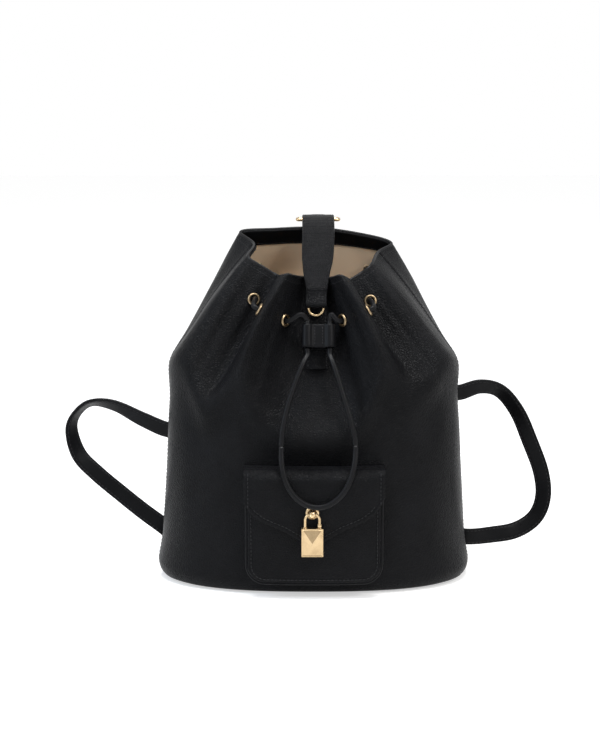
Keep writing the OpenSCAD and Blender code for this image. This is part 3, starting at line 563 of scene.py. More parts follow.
@dataclass(frozen=True)
class Metal:
    """A plated metal finish."""

    name: str
    colour: tuple[float, float, float] = (0.50, 0.37, 0.215)
    dull: tuple[float, float, float] = (0.40, 0.29, 0.165)
    rough: tuple[float, float] = (0.17, 0.30)

    def build(self, effects: Effects) -> bpy.types.Material:
        """Makes the material with the shared effects."""
        mat = bpy.data.materials.new(self.name)
        mat.use_nodes = True
        n = Nodes(mat.node_tree)
        bsdf = mat.node_tree.nodes["Principled BSDF"]
        mark = n.add("Group")
        mark.node_tree = effects.scratch
        n.link(n.mix(mark.outputs["Smudge"], (*self.colour, 1), (*self.dull, 1)), bsdf.inputs["Base Color"])
        n.link(n.ranged(mark.outputs["Smudge"], 0.0, 1.0, self.rough[0], self.rough[1]), bsdf.inputs["Roughness"])
        bump = n.add("Bump", Strength=0.08, Distance=0.00005)
        n.link(mark.outputs["Height"], bump.inputs["Height"])
        n.link(bump.outputs[0], bsdf.inputs["Normal"])
        bsdf.inputs["Metallic"].default_value = 1.0
        return mat


@dataclass(frozen=True)
class Cloth:
    """A woven lining finish."""

    name: str
    colour: tuple[float, float, float] = (0.95, 0.76, 0.55)
    shade: tuple[float, float, float] = (0.86, 0.67, 0.47)
    threads: float = 12.0

    def build(self, effects: Effects) -> bpy.types.Material:
        """Makes the material with the shared effects."""
        mat = bpy.data.materials.new(self.name)
        mat.use_nodes = True
        n = Nodes(mat.node_tree)
        bsdf = mat.node_tree.nodes["Principled BSDF"]
        weave = n.add("Group")
        weave.node_tree = effects.weave
        weave.inputs["Threads"].default_value = self.threads
        cloud = n.add("Group")
        cloud.node_tree = effects.mottle
        # Painted shade: the weave's low points take the darker shade colour and its raised threads the lighter colour;
        # the slow cloud adds random tone.
        factor = n.math("MULTIPLY", n.math("ADD", weave.outputs["Height"], cloud.outputs["Cloud"]), 0.4)
        n.link(n.mix(factor, (*self.shade, 1), (*self.colour, 1)), bsdf.inputs["Base Color"])
        n.link(n.ranged(weave.outputs["Thread"], 0.0, 1.0, 0.75, 0.95), bsdf.inputs["Roughness"])
        bump = n.add("Bump", Strength=0.25, Distance=0.0001)
        n.link(weave.outputs["Height"], bump.inputs["Height"])
        n.link(bump.outputs[0], bsdf.inputs["Normal"])
        bsdf.inputs["Specular IOR Level"].default_value = 0.2
        bsdf.inputs["Sheen Weight"].default_value = 0.15
        return mat


@dataclass(frozen=True)
class Plain:
    """A finish of one colour range, for thread and board."""

    name: str
    colour: tuple[float, float, float]
    other: tuple[float, float, float]
    rough: float = 0.6
    scale: float = 900.0

    def build(self, effects: Effects) -> bpy.types.Material:
        """Makes the material with the shared effects."""
        mat = bpy.data.materials.new(self.name)
        mat.use_nodes = True
        n = Nodes(mat.node_tree)
        bsdf = mat.node_tree.nodes["Principled BSDF"]
        cloud = n.add("Group")
        cloud.node_tree = effects.mottle
        cloud.inputs["Scale"].default_value = self.scale
        n.link(n.mix(cloud.outputs["Cloud"], (*self.colour, 1), (*self.other, 1)), bsdf.inputs["Base Color"])
        n.link(n.ranged(cloud.outputs["Cloud"], 0.0, 1.0, self.rough, min(1.0, self.rough + 0.15)), bsdf.inputs["Roughness"])
        bump = n.add("Bump", Strength=0.3, Distance=0.0001)
        n.link(cloud.outputs["Spots"], bump.inputs["Height"])
        n.link(bump.outputs[0], bsdf.inputs["Normal"])
        bsdf.inputs["Specular IOR Level"].default_value = 0.25
        return mat


class Wardrobe:
    """Holds every finish and dresses pieces."""

    def __init__(self) -> None:
        """Builds the effects and the finishes."""
        effects = Effects()
        self.finishes = {
            "pebbled": Leather("pebbled_leather"),
            "smooth": Leather("smooth_leather", rough=(0.27, 0.38), shine=0.07, scale=1500.0, depth=0.00008, strength=0.35),
            "lace": Leather("lace_leather", colour=(0.005, 0.005, 0.0056), rough=(0.26, 0.36), shine=0.11, scale=1700.0, depth=0.00006, strength=0.3),
            "edge": Leather("edge_paint", colour=(0.005, 0.005, 0.0056), rough=(0.22, 0.32), shine=0.14, scale=2600.0, depth=0.00004, strength=0.2),
            "gold": Metal("gold_plate"),
            "antique": Metal("antique_eyelet", (0.34, 0.25, 0.15), (0.20, 0.15, 0.09), (0.26, 0.42)),
            "lining": Cloth("lining_cloth"),
            "thread": Plain("black_thread", (0.006, 0.006, 0.007), (0.016, 0.016, 0.018), 0.5, 1500.0),
            "board": Plain("fibre_board", (0.38, 0.29, 0.2), (0.45, 0.36, 0.26), 0.85, 500.0),
        }
        self.made = {key: value.build(effects) for key, value in self.finishes.items()}

    def dress(self, obj: bpy.types.Object, finish: str, body: str = "bag", replaces: tuple[str, ...] = ()) -> bpy.types.Object:
        """Gives a piece its finish, its body and the solids it stands for.

        Args:
            obj: the piece.
            finish: key of the finish.
            body: the body it rides on, or an empty name to leave it on none.
            replaces: solids that it stands for.

        Returns:
            The piece.
        """
        obj.data.materials.clear()
        obj.data.materials.append(self.made[finish])
        if replaces:
            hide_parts(*replaces)
        if body:
            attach(obj, body)
        LOG.info("%s: %d faces", obj.name, len(obj.data.polygons))
        return obj

    def redress(self, nodes: dict[str, bpy.types.Object], finish: str, *names: str) -> None:
        """Gives solids of the frame a better finish."""
        for name in names:
            obj = nodes[name]
            for slot in obj.material_slots:
                slot.link = "OBJECT"
                slot.material = self.made[finish]
            if not obj.material_slots:
                obj.data.materials.append(self.made[finish])


# ---- the bag's own shape ----
# round the bag from the middle of the back: place in degrees, drop of the shoulder, bulge x, y, z, rim x, rim y, drop of the rim
FOLDS = np.array([
    [90, 97, 0, 4, 0, 0, 42, 0], [118, 98, -3, 5, 0, -34, 42, 1], [146, 102, -4, 5, 0, -62, 40, 3], [180, 115, -7, -1, -2, -50, 18, 11],
    [207, 109, -6, -3, 0, -54, -8, 19], [219, 122, 0, 0, 0, -42, -13, 27], [228, 133, 3, 5, 0, -30, -17, 34], [237, 127, -3, -6, 0, -28.5, -35, 32],
    [244, 122, -6, -10, 1, -21.5, -44, 30], [250, 139, -4, -5, 0, -14, -35, 33], [259, 156, 0, 2, 0, -8, -22, 35], [270, 162, 0, 2, 0, 0, -20, 35],
    [281, 156, 0, 2, 0, 8, -22, 36], [288, 136, 4, -5, 0, 14, -35, 34], [294, 118, 6, -10, 1, 21.5, -44, 31], [302, 122, 3, -6, 0, 28.5, -35, 35],
    [311, 118, -3, 4, 0, 27, -17, 39], [321, 114, 0, 0, 0, 38, -12, 33], [333, 109, 5, -3, 0, 47, -8, 26], [360, 115, 7, -1, -2, 54, 18, 18],
    [394, 102, 4, 5, 0, 66, 40, 12], [422, 98, 3, 5, 0, 34, 42, 4]], float)
SIDE_TAPER = np.array([[12, 1], [33, .972], [60, .958], [99, .94], [146, .925], [172, .914], [260, .89]])
FRONT_TAPER = np.array([[12, 1], [33, .99], [60, .985], [99, .975], [146, .965], [172, .955], [260, .93]])


@dataclass
class BagShape:
    """Outer surface of the bag. s goes round it in folds, v up the wall (0 to 1) and up the gathered slope (1 to 2)."""

    width: float = 262.0
    depth: float = 150.0
    height: float = 287.0
    squareness: float = 2.5
    wall: float = 2.0
    gap: float = 0.3
    lining: float = 1.0

    def taper(self, z: Array, table: Array, foot: float) -> Array:
        """How wide the plan is at height z, rounded in at the foot."""
        z = np.asarray(z, float)
        low = foot + (1 - foot) * np.sqrt(np.clip(1 - (1 - np.clip(z, 0, 12) / 12) ** 2, 0, 1))
        return np.where(z < 12, low, np.interp(z, table[:, 0], table[:, 1]))

    def plan(self, deg: Array, z: Array) -> Array:
        """A place on the upright wall."""
        a = np.radians(deg)
        c, s, p = np.cos(a), np.sin(a), 2 / self.squareness
        x = self.width / 2 * self.taper(z, SIDE_TAPER, 0.935) * np.sign(c) * np.abs(c) ** p
        y = self.depth / 2 * self.taper(z, FRONT_TAPER, 0.90) * np.sign(s) * np.abs(s) ** p
        return np.stack([x, y, np.broadcast_to(z, x.shape)], -1)

    def wall_y(self, x: Array, z: Array) -> Array:
        """How far from the middle the front and back walls stand at x, z."""
        half = self.width / 2 * self.taper(z, SIDE_TAPER, 0.935)
        return self.depth / 2 * self.taper(z, FRONT_TAPER, 0.90) * (1 - np.minimum(0.999, np.abs(x) / half) ** self.squareness) ** (1 / self.squareness)

    @staticmethod
    def fold(i: Array) -> Array:
        """Row i of the folds, going on round the bag."""
        n = len(FOLDS)
        k = np.floor_divide(i, n)
        row = FOLDS[i - k * n].copy()
        row[..., 0] += 360 * k
        return row

    def raw(self, s: Array, v: Array) -> Array:
        """The plain surface, with a sharp shoulder."""
        s, v = np.broadcast_arrays(np.asarray(s, float), np.asarray(v, float))
        i = np.floor(s).astype(int)
        t = (s - i)[..., None]
        f = curve4(self.fold(i - 1), self.fold(i), self.fold(i + 1), self.fold(i + 2), t)
        top = self.height - f[..., 1]
        wall = self.plan(f[..., 0], top * np.clip(v, 0, 1))
        low = self.plan(f[..., 0], top)
        rim = np.stack([f[..., 5], f[..., 6], self.height - f[..., 7]], -1)
        ctrl = (low + rim) / 2 + 2 * f[..., 2:5]
        u = np.clip(v - 1, 0, 1)[..., None]
        slope = low * (1 - u) ** 2 + ctrl * 2 * u * (1 - u) + rim * u * u
        return np.where((v <= 1)[..., None], wall, slope)

    def soft(self, s: Array, v: Array) -> Array:
        """The surface with its shoulder rounded over."""
        s, v = np.broadcast_arrays(np.asarray(s, float), np.asarray(v, float))
        reach = 0.085 * np.exp(-((v - 1) / 0.24) ** 2)
        steps = np.linspace(-1, 1, 9)
        weights = np.cos(steps * math.pi / 2.4)
        total = sum(w * self.raw(s, np.clip(v + reach * k, 0, 2)) for k, w in zip(steps, weights))
        return total / weights.sum()

    def normal(self, s: Array, v: Array) -> Array:
        """Direction out of the leather."""
        s, v = np.broadcast_arrays(np.asarray(s, float), np.asarray(v, float))
        a = self.soft(s + 0.06, v) - self.soft(s - 0.06, v)
        b = self.soft(s, np.minimum(2, v + 0.03)) - self.soft(s, np.maximum(0.02, v - 0.03))
        return unit(np.cross(a, b))

    @staticmethod
    def bump(s: Array, centre: float, width: float) -> Array:
        """Smooth hump round one fold."""
        d = (np.asarray(s, float) - centre + 11) % 22 - 11
        return np.exp(-(d / width) ** 2)

    def relief(self, s: Array, v: Array) -> Array:
        """How far the leather stands out of the plain surface: rolled lips, full shoulders and small drawn folds."""
        lips = [(11.0, 1.9, 5.5, 1.03), (6.0, 1.1, 4.5, 1.0), (16.4, 1.0, 4.0, 1.0), (8.6, 0.9, 2.5, 1.1), (13.6, 0.9, 2.5, 1.1), (3.4, 1.6, 2.5, 1.1), (18.6, 1.6, 2.5, 1.1), (0.0, 3.0, 1.5, 1.0)]
        out = np.zeros(np.broadcast(s, v).shape)
        for centre, width, height, at in lips:
            side = self.bump(s, centre, width)
            out += side * height * (np.exp(-((v - at) / 0.10) ** 2) - 0.42 * np.exp(-((v - at + 0.2) / 0.10) ** 2))
        out += (self.bump(s, 3.4, 1.0) + self.bump(s, 18.6, 1.0)) * 2.0 * np.exp(-((v - 1.2) / 0.16) ** 2)
        # drawn folds run up the slope and fade on the wall
        rise = np.clip((v - 0.95) / 0.6, 0, 1) * np.clip((2.02 - v) / 0.35, 0, 1)
        keep = 1 - 0.85 * self.bump(s, 11.0, 1.6)
        fine = 0.55 * np.sin(s * 5.3 + 1.7 * v + 0.6) + 0.38 * np.sin(s * 9.1 - 2.3 * v + 2.1) + 0.25 * np.sin(s * 14.7 + 3.1 * v)
        out += fine * rise * keep * 0.5
        # slow unevenness of the wall
        out += 0.5 * np.sin(s * 1.9 + 2.0 * v + 0.5) * np.sin(v * 4.2 + 0.8 * s) * np.clip(v * 3, 0, 1) * np.clip((1.2 - v) * 4, 0, 1)
        return out

    def at(self, s: Array, v: Array, inset: float = 0.0) -> Array:
        """A place on the finished leather, or inset below it."""
        s, v = np.broadcast_arrays(np.asarray(s, float), np.asarray(v, float))
        return self.soft(s, v) + self.normal(s, v) * (self.relief(s, v) - inset)[..., None]

    def slope_point(self, drop: float, out: float) -> Array:
        """A place on the middle of the front slope, by its drop below the top and its height off the leather."""
        top, low = self.raw(11.0, 2.0), self.raw(11.0, 1.0)
        z = self.height - drop
        t = (top[2] - z) / (top[2] - low[2])
        q = self.raw(11.0, 2.0 - t)
        return np.array([0, q[1], q[2]]) + self.slope_out() * out

    def slope_dir(self) -> Array:
        """Direction down the middle of the front slope."""
        return unit(self.raw(11.0, 1.0) - self.raw(11.0, 2.0))

    def slope_out(self) -> Array:
        """Direction out of the middle of the front slope."""
        d = self.slope_dir()
        return np.array([0, d[2], -d[1]])


# ---- the drawcord ----
@dataclass
class Drawcord:
    """The cord through the eyelets, its keeper and its free loop."""

    shape: BagShape
    thick: float = 4.3
    pitch: float = 18.0
    length: float = 19.0
    channel: float = 4.7
    keeper_at: tuple[float, float, float] = (3.6, -50.6486, 207.483)
    down: tuple[float, float, float] = (0.0, -0.383335, -0.923609)
    loop: tuple[tuple[float, float, float], ...] = (
        (-10, -63, 185), (-18.5, -72, 163), (-24, -79.5, 143), (-26, -85, 125), (-25, -93, 107), (-19, -98, 92), (-9, -99, 82), (2.8, -99, 78.5),
        (14, -99, 82), (24, -98, 92), (30.5, -93, 107), (32.5, -85, 125), (29, -79.5, 143), (23, -72, 163), (16, -63, 185))
    front_holes: tuple[tuple[float, float], ...] = ((5.4, 1.76), (7.05, 1.72), (9.4, 1.7), (12.65, 1.7), (14.95, 1.72), (16.6, 1.76))
    back_holes: tuple[tuple[float, float], ...] = ((-1.0, 1.66), (1.0, 1.66))

    def in_keeper(self, side: float, z: float) -> Array:
        """A place in one channel of the keeper, z up it from its middle."""
        d = np.array(self.down)
        return np.array(self.keeper_at) + np.array([side * self.pitch / 2, -d[1] * z, -d[2] * z])

    def loop_line(self) -> Array:
        """The centre line of the whole free loop."""
        h = self.length / 2
        pts = [self.in_keeper(-1, -h), self.in_keeper(-1, -h - 2.5), self.in_keeper(-1, -h - 6), *[np.array(p, float) for p in self.loop],
               self.in_keeper(1, -h - 6), self.in_keeper(1, -h - 2.5), self.in_keeper(1, -h)]
        return even_line(smooth_line(pts, 8), 1.6)

    def lace(self, name: str, line: Array, outward: Array, ends: Ends = Ends.CAPPED) -> bpy.types.Object:
        """A stretch of the lace.

        Args:
            name: name of the piece.
            line: its centre line, in millimetres.
            outward: the way its groove looks, one direction or one for each place.
            ends: what happens to its ends.

        Returns:
            The new object.
        """
        faces = np.broadcast_to(np.asarray(outward, float), line.shape)
        return swept(name, line, faces, cord_outline(self.thick / 2), ends=ends)

    def build_loop(self, wear: Wardrobe) -> None:
        """The free loop: two legs that run out of the keeper and the bow that lies on the pocket."""
        line = self.loop_line()
        split = [k for k in range(1, len(line)) if (line[k - 1, 2] - 125) * (line[k, 2] - 125) <= 0]
        parts = {"drawcord_leg_left": line[: split[0] + 1], "drawcord_bow": line[split[0]: split[1] + 1], "drawcord_leg_right": line[split[1]:]}
        for name, part in parts.items():
            piece = self.lace(name, part, (0, -1, 0.35))
            wear.dress(piece, "lace", "", ("drawcord_loop",) if name == "drawcord_bow" else ())
            if name == "drawcord_bow":
                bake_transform(piece)
            else:
                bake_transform(piece)
        LOG.info("free loop: %.1f mm", line_length(line))

    def through(self, hole: tuple[float, float], out: float) -> Array:
        """A place on the axis of an eyelet."""
        s, v = hole
        return self.shape.raw(s, v) + self.plain_normal(s, v) * out

    def plain_normal(self, s: float, v: float) -> Array:
        """Direction out of the plain surface, as the eyelets stand."""
        r = self.shape.raw
        return unit(np.cross(r(s + 0.05, v) - r(s - 0.05, v), r(s, min(2, v + 0.03)) - r(s, max(0.02, v - 0.03))))

    def half(self, side: float, inner: tuple[float, float], flank: tuple[float, float], outer: tuple[float, float], back: tuple[float, float], inside: list[float]) -> tuple[Array, Array]:
        """Half of the held cord.

        Args:
            side: -1 on the left, 1 on the right.
            inner, flank, outer, back: the eyelets it passes through.
            inside: folds that it passes inside of.

        Returns:
            The stretch from the keeper to the inner eyelet, and the rest.
        """
        h = self.length / 2
        t = self.through
        first = [self.in_keeper(side, -h + 0.25), self.in_keeper(side, -2), self.in_keeper(side, h + 0.5), self.in_keeper(side, h + 3.5),
                 (self.in_keeper(side, h + 9) + t(inner, 10)) / 2 + np.array([0, 0, 2.5]), t(inner, 5), t(inner, -3), t(inner, -8)]
        deep = lambda s, v, d: self.shape.raw(s, v) - self.plain_normal(s, v) * d
        rest = [t(flank, -8), t(flank, -3), t(flank, 5), (t(flank, 7) + t(outer, 7)) / 2, t(outer, 5), t(outer, -3), t(outer, -8),
                *[deep(s, 1.62, 9) for s in inside], deep(1.5 if side < 0 else 20.5, 1.65, 9), t(back, -8), t(back, -3), t(back, 5)]
        return np.array(first), np.array(rest)

    def build_held(self, wear: Wardrobe) -> None:
        """The cord that runs through the eyelets."""
        f, b = self.front_holes, self.back_holes
        left, left_rest = self.half(-1, f[2], f[1], f[0], b[1], [4.2, 3.2, 2.3])
        right, right_rest = self.half(1, f[3], f[4], f[5], b[0], [17.8, 18.8, 19.7])
        for name, pts, side in (("drawcord_lead_left", left, -1), ("drawcord_lead_right", right, 1)):
            line = even_line(smooth_line(pts, 10), 1.0)
            piece = self.lace(name, line, (0, -1, 0.3))
            wear.dress(piece, "lace", "")
            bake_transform(piece)
        centre = [self.shape.raw(s, 1.66) + self.plain_normal(s, 1.66) * 5.4 for s in (0.35, -0.35)]
        whole = np.vstack([[left[-1]], left_rest, centre, right_rest[::-1], [right[-1]]])
        line = even_line(smooth_line(whole, 8), 1.6)
        around = unit(np.stack([line[:, 0], line[:, 1], np.full(len(line), 12.0)], 1))
        piece = self.lace("drawcord_round", line, around)
        wear.dress(piece, "lace", "bag", ("drawcord",))

    def build_keeper(self, wear: Wardrobe) -> None:
        """The leather keeper: two rolled channels and a stitched web between them."""
        a = np.linspace(-125, 125, 26)
        lobe = [(self.pitch / 2 + self.channel * math.cos(math.radians(k)), self.channel * math.sin(math.radians(k))) for k in a]
        web = [(x, 2.35 + 0.5 * abs(x / 6.2) ** 3) for x in (5.2, 3.9, 2.6, 1.2, 0.0, -1.2, -2.6, -3.9, -5.2)]
        outline = np.array(lobe + web + [(-x, y) for x, y in lobe[::-1]] + [(x, -y) for x, y in web[::-1]])
        d = np.array(self.down)
        zs = np.concatenate([[-9.5, -9.4, -9.1], np.linspace(-8.2, 8.2, 13), [9.1, 9.4, 9.5]])
        path = np.array(self.keeper_at) - d * zs[:, None]
        shrink = 1 - 0.10 * np.clip((np.abs(zs) - 8.6) / 0.9, 0, 1) ** 2 + 0.015 * np.cos(zs / 9.5 * math.pi)
        out = np.array([0, d[2], -d[1]])
        piece = swept("keeper_leather", path, np.broadcast_to(out, path.shape), outline, widths=1 - (1 - shrink) * 0.35, heights=shrink)
        wear.dress(piece, "smooth", "keeper", ("cord_slider",))
        for x in (-3.1, 3.1):
            line = np.array([np.array(self.keeper_at) - d * z + np.array([x, 0, 0]) + out * 2.62 for z in np.linspace(-7.6, 7.6, 12)])
            wear.dress(stitches(f"keeper_thread_{'left' if x < 0 else 'right'}", line, np.broadcast_to(out, line.shape), 2.5, 1.9, 0.3), "thread", "keeper")


@dataclass
class Eyelets:
    """Rolled metal rings round the holes of the drawcord."""

    cord: Drawcord
    hole: float = 3.0
    rim: float = 5.4

    def build(self, wear: Wardrobe) -> None:
        """One turned ring for each hole."""
        lifts = (0.8, 0.6, 0.9, 0.9, 0.6, 0.8)
        for group, holes, rises in (("front", self.cord.front_holes, lifts), ("back", self.cord.back_holes, (0.6, 0.6))):
            for k, (hole, lift) in enumerate(zip(holes, rises)):
                n = self.cord.plain_normal(*hole)
                p = self.cord.shape.raw(*hole)
                turn = Vector(n).to_track_quat("Z", "Y").to_matrix().to_4x4()
                place = Matrix.Translation(Vector(p) * MM) @ turn
                crown = [(self.hole + 1.2 - 1.2 * math.cos(math.radians(a)), lift + 0.05 + 1.15 * math.sin(math.radians(a))) for a in range(0, 181, 20)]
                ring = [(self.hole, -3.8)] + crown + [(self.rim, lift - 0.1), (self.rim - 0.1, lift - 0.5), (self.hole + 0.8, lift - 0.5), (self.hole + 0.8, -3.8)]
                piece = lathe(f"{group}_ring_{k + 1}", ring, place, 36)
                wear.dress(piece, "antique", "bag", (f"{group}_eyelets",) if k == 0 else ())


# ---- leather walls and lining ----
@dataclass
class Body:
    """Panels, base, lining, facing and the edge of the mouth."""

    shape: BagShape
    front: tuple[float, float] = (3.0, 19.0)
    back: tuple[float, float] = (19.0, 25.0)

    def rows(self, count: int = 110) -> Array:
        """Heights of the rows, closer together at the foot and the shoulder."""
        return np.concatenate([np.linspace(0, 0.08, 8)[:-1], np.linspace(0.08, 0.7, 22)[:-1], np.linspace(0.7, 1.35, count - 66)[:-1], np.linspace(1.35, 2.0, 40)])

    def panel(self, name: str, span: tuple[float, float], columns: int) -> bpy.types.Object:
        """One leather panel, its side edges turned in to the seam."""
        s = np.linspace(span[0], span[1], columns)
        v = self.rows()
        S, V = np.meshgrid(s, v, indexing="ij")
        edge = np.minimum(S - span[0], span[1] - S)
        tuck = 1.5 * np.exp(-(edge / 0.035) ** 2)
        pts = self.shape.at(S, V) - self.shape.normal(S, V) * tuck[..., None]
        piece = sheet_mesh(name, pts, Outward.AXIS, span=(500, 300))
        thicken(piece, self.shape.wall)
        return piece

    def build(self, wear: Wardrobe) -> None:
        """Builds and dresses the body."""
        wear.dress(self.panel("front_leather", self.front, 300), "pebbled", "bag", ("front_panel",))
        wear.dress(self.panel("back_leather", self.back, 110), "pebbled", "bag", ("back_panel",))
        self.base(wear)
        self.inside(wear)
        self.rim(wear)

    def base(self, wear: Wardrobe) -> None:
        """Leather under the board, inside the foot of the panels."""
        s = np.linspace(0, 22, 133)
        foot = self.shape.at(s, np.zeros_like(s))
        foot[:, 2] = 0
        inset = foot * np.array([0.978, 0.965, 1])
        rings = []
        for share, z in ((0.002, 1.9), (0.5, 1.9), (0.96, 1.9), (1.0, 1.4), (1.0, 0.6), (0.99, 0.1), (0.96, 0.0), (0.5, 0.0), (0.002, 0.0)):
            rings.append(inset * np.array([share, share, 0]) + np.array([0, 0, z]))
        pts = np.array(rings).transpose(1, 0, 2)
        piece = sheet_mesh("base_leather", pts, Outward.CLOSED, ring=True, caps=True, span=(600, 200))
        wear.dress(piece, "pebbled", "bag", ("base_panel",))

    def inside(self, wear: Wardrobe) -> None:
        """Lining with its floor, facing band and slip pocket."""
        sh = self.shape
        out = sh.wall + sh.gap
        s = np.linspace(0, 22, 261)
        v = np.concatenate([np.linspace(0.045, 0.8, 24)[:-1], np.linspace(0.8, 1.875, 62)])
        S, V = np.meshgrid(s, v, indexing="ij")
        creases = 0.35 * np.sin(S * 7.7 + V * 5) * np.clip(V - 0.6, 0, 1)
        pts = sh.at(S, V, out + 0.45) - sh.normal(S, V) * np.clip(creases, 0, 1)[..., None]
        lining = sheet_mesh("lining_cloth_piece", pts, Outward.INWARD, ring=True, span=(500, 300))
        thicken(lining, 0.8)
        wear.dress(lining, "lining", "bag", ("lining",))
        rim = pts[:, 0] * np.array([1, 1, 0]) + np.array([0, 0, 6.1])
        floor = np.array([rim * np.array([k, k, 1]) for k in (0.004, 0.3, 0.6, 0.85, 0.985)]).transpose(1, 0, 2)
        floor_piece = sheet_mesh("lining_floor", floor, Outward.UP, ring=True, caps=True, span=(500, 150))
        thicken(floor_piece, 0.8)
        wear.dress(floor_piece, "lining")
        v = np.linspace(1.868, 1.998, 12)
        S, V = np.meshgrid(s, v, indexing="ij")
        band = sheet_mesh("mouth_facing", sh.at(S, V, out), Outward.AXIS, ring=True, span=(480, 14))
        thicken(band, 1.3)
        wear.dress(band, "smooth", "bag", ("top_facing",))
        low = [sh.at(k, 1.88, out + 1.35) for k in s]
        ups = [-sh.normal(k, 1.88) for k in s]
        wear.dress(stitches("facing_thread", np.array(low), np.array(ups), 3.0, 2.3, 0.3), "thread")
        xs, zs = np.linspace(-48, 48, 41), np.linspace(70, 150, 31)
        X, Z = np.meshgrid(xs, zs, indexing="ij")
        sag = 0.5 + 2.3 * np.sqrt(np.clip(np.cos(math.pi / 2 * X / 48), 0, 1)) * (Z - 70) / 80
        Y = sh.wall_y(X, Z) - sh.wall - sh.gap - sh.lining - sag - 1.2
        slip = sheet_mesh("slip_pocket_cloth", np.stack([X, Y, Z], -1), Outward.FRONT, span=(96, 80))
        thicken(slip, 1.0)
        wear.dress(slip, "lining", "bag", ("slip_pocket",))

    def rim(self, wear: Wardrobe) -> None:
        """Painted edge bead round the mouth, thread below it and thread beside the side seams."""
        sh = self.shape
        s = np.linspace(0, 22, 353)[:-1]
        line = sh.at(s, np.full_like(s, 1.995), 1.0)
        face = unit(sh.at(s, np.full_like(s, 1.995)) - sh.at(s, np.full_like(s, 1.97)))
        bead = swept("mouth_edge", line, face, circle(1.35, 10), ends=Ends.JOINED)
        wear.dress(bead, "edge")
        s = np.linspace(0, 22, 353)
        row = sh.at(s, np.full_like(s, 1.955))
        wear.dress(stitches("mouth_thread", row, sh.normal(s, np.full_like(s, 1.955)), 3.0, 2.3, 0.3), "thread")
        for side, at in (("left", 3.0), ("right", 19.0)):
            v = np.linspace(0.03, 1.95, 120)
            for k, shift in enumerate((-0.085, 0.085)):
                sv = np.full_like(v, at + shift)
                wear.dress(stitches(f"seam_thread_{side}_{k + 1}", sh.at(sv, v), sh.normal(sv, v), 3.4, 2.6, 0.32), "thread")


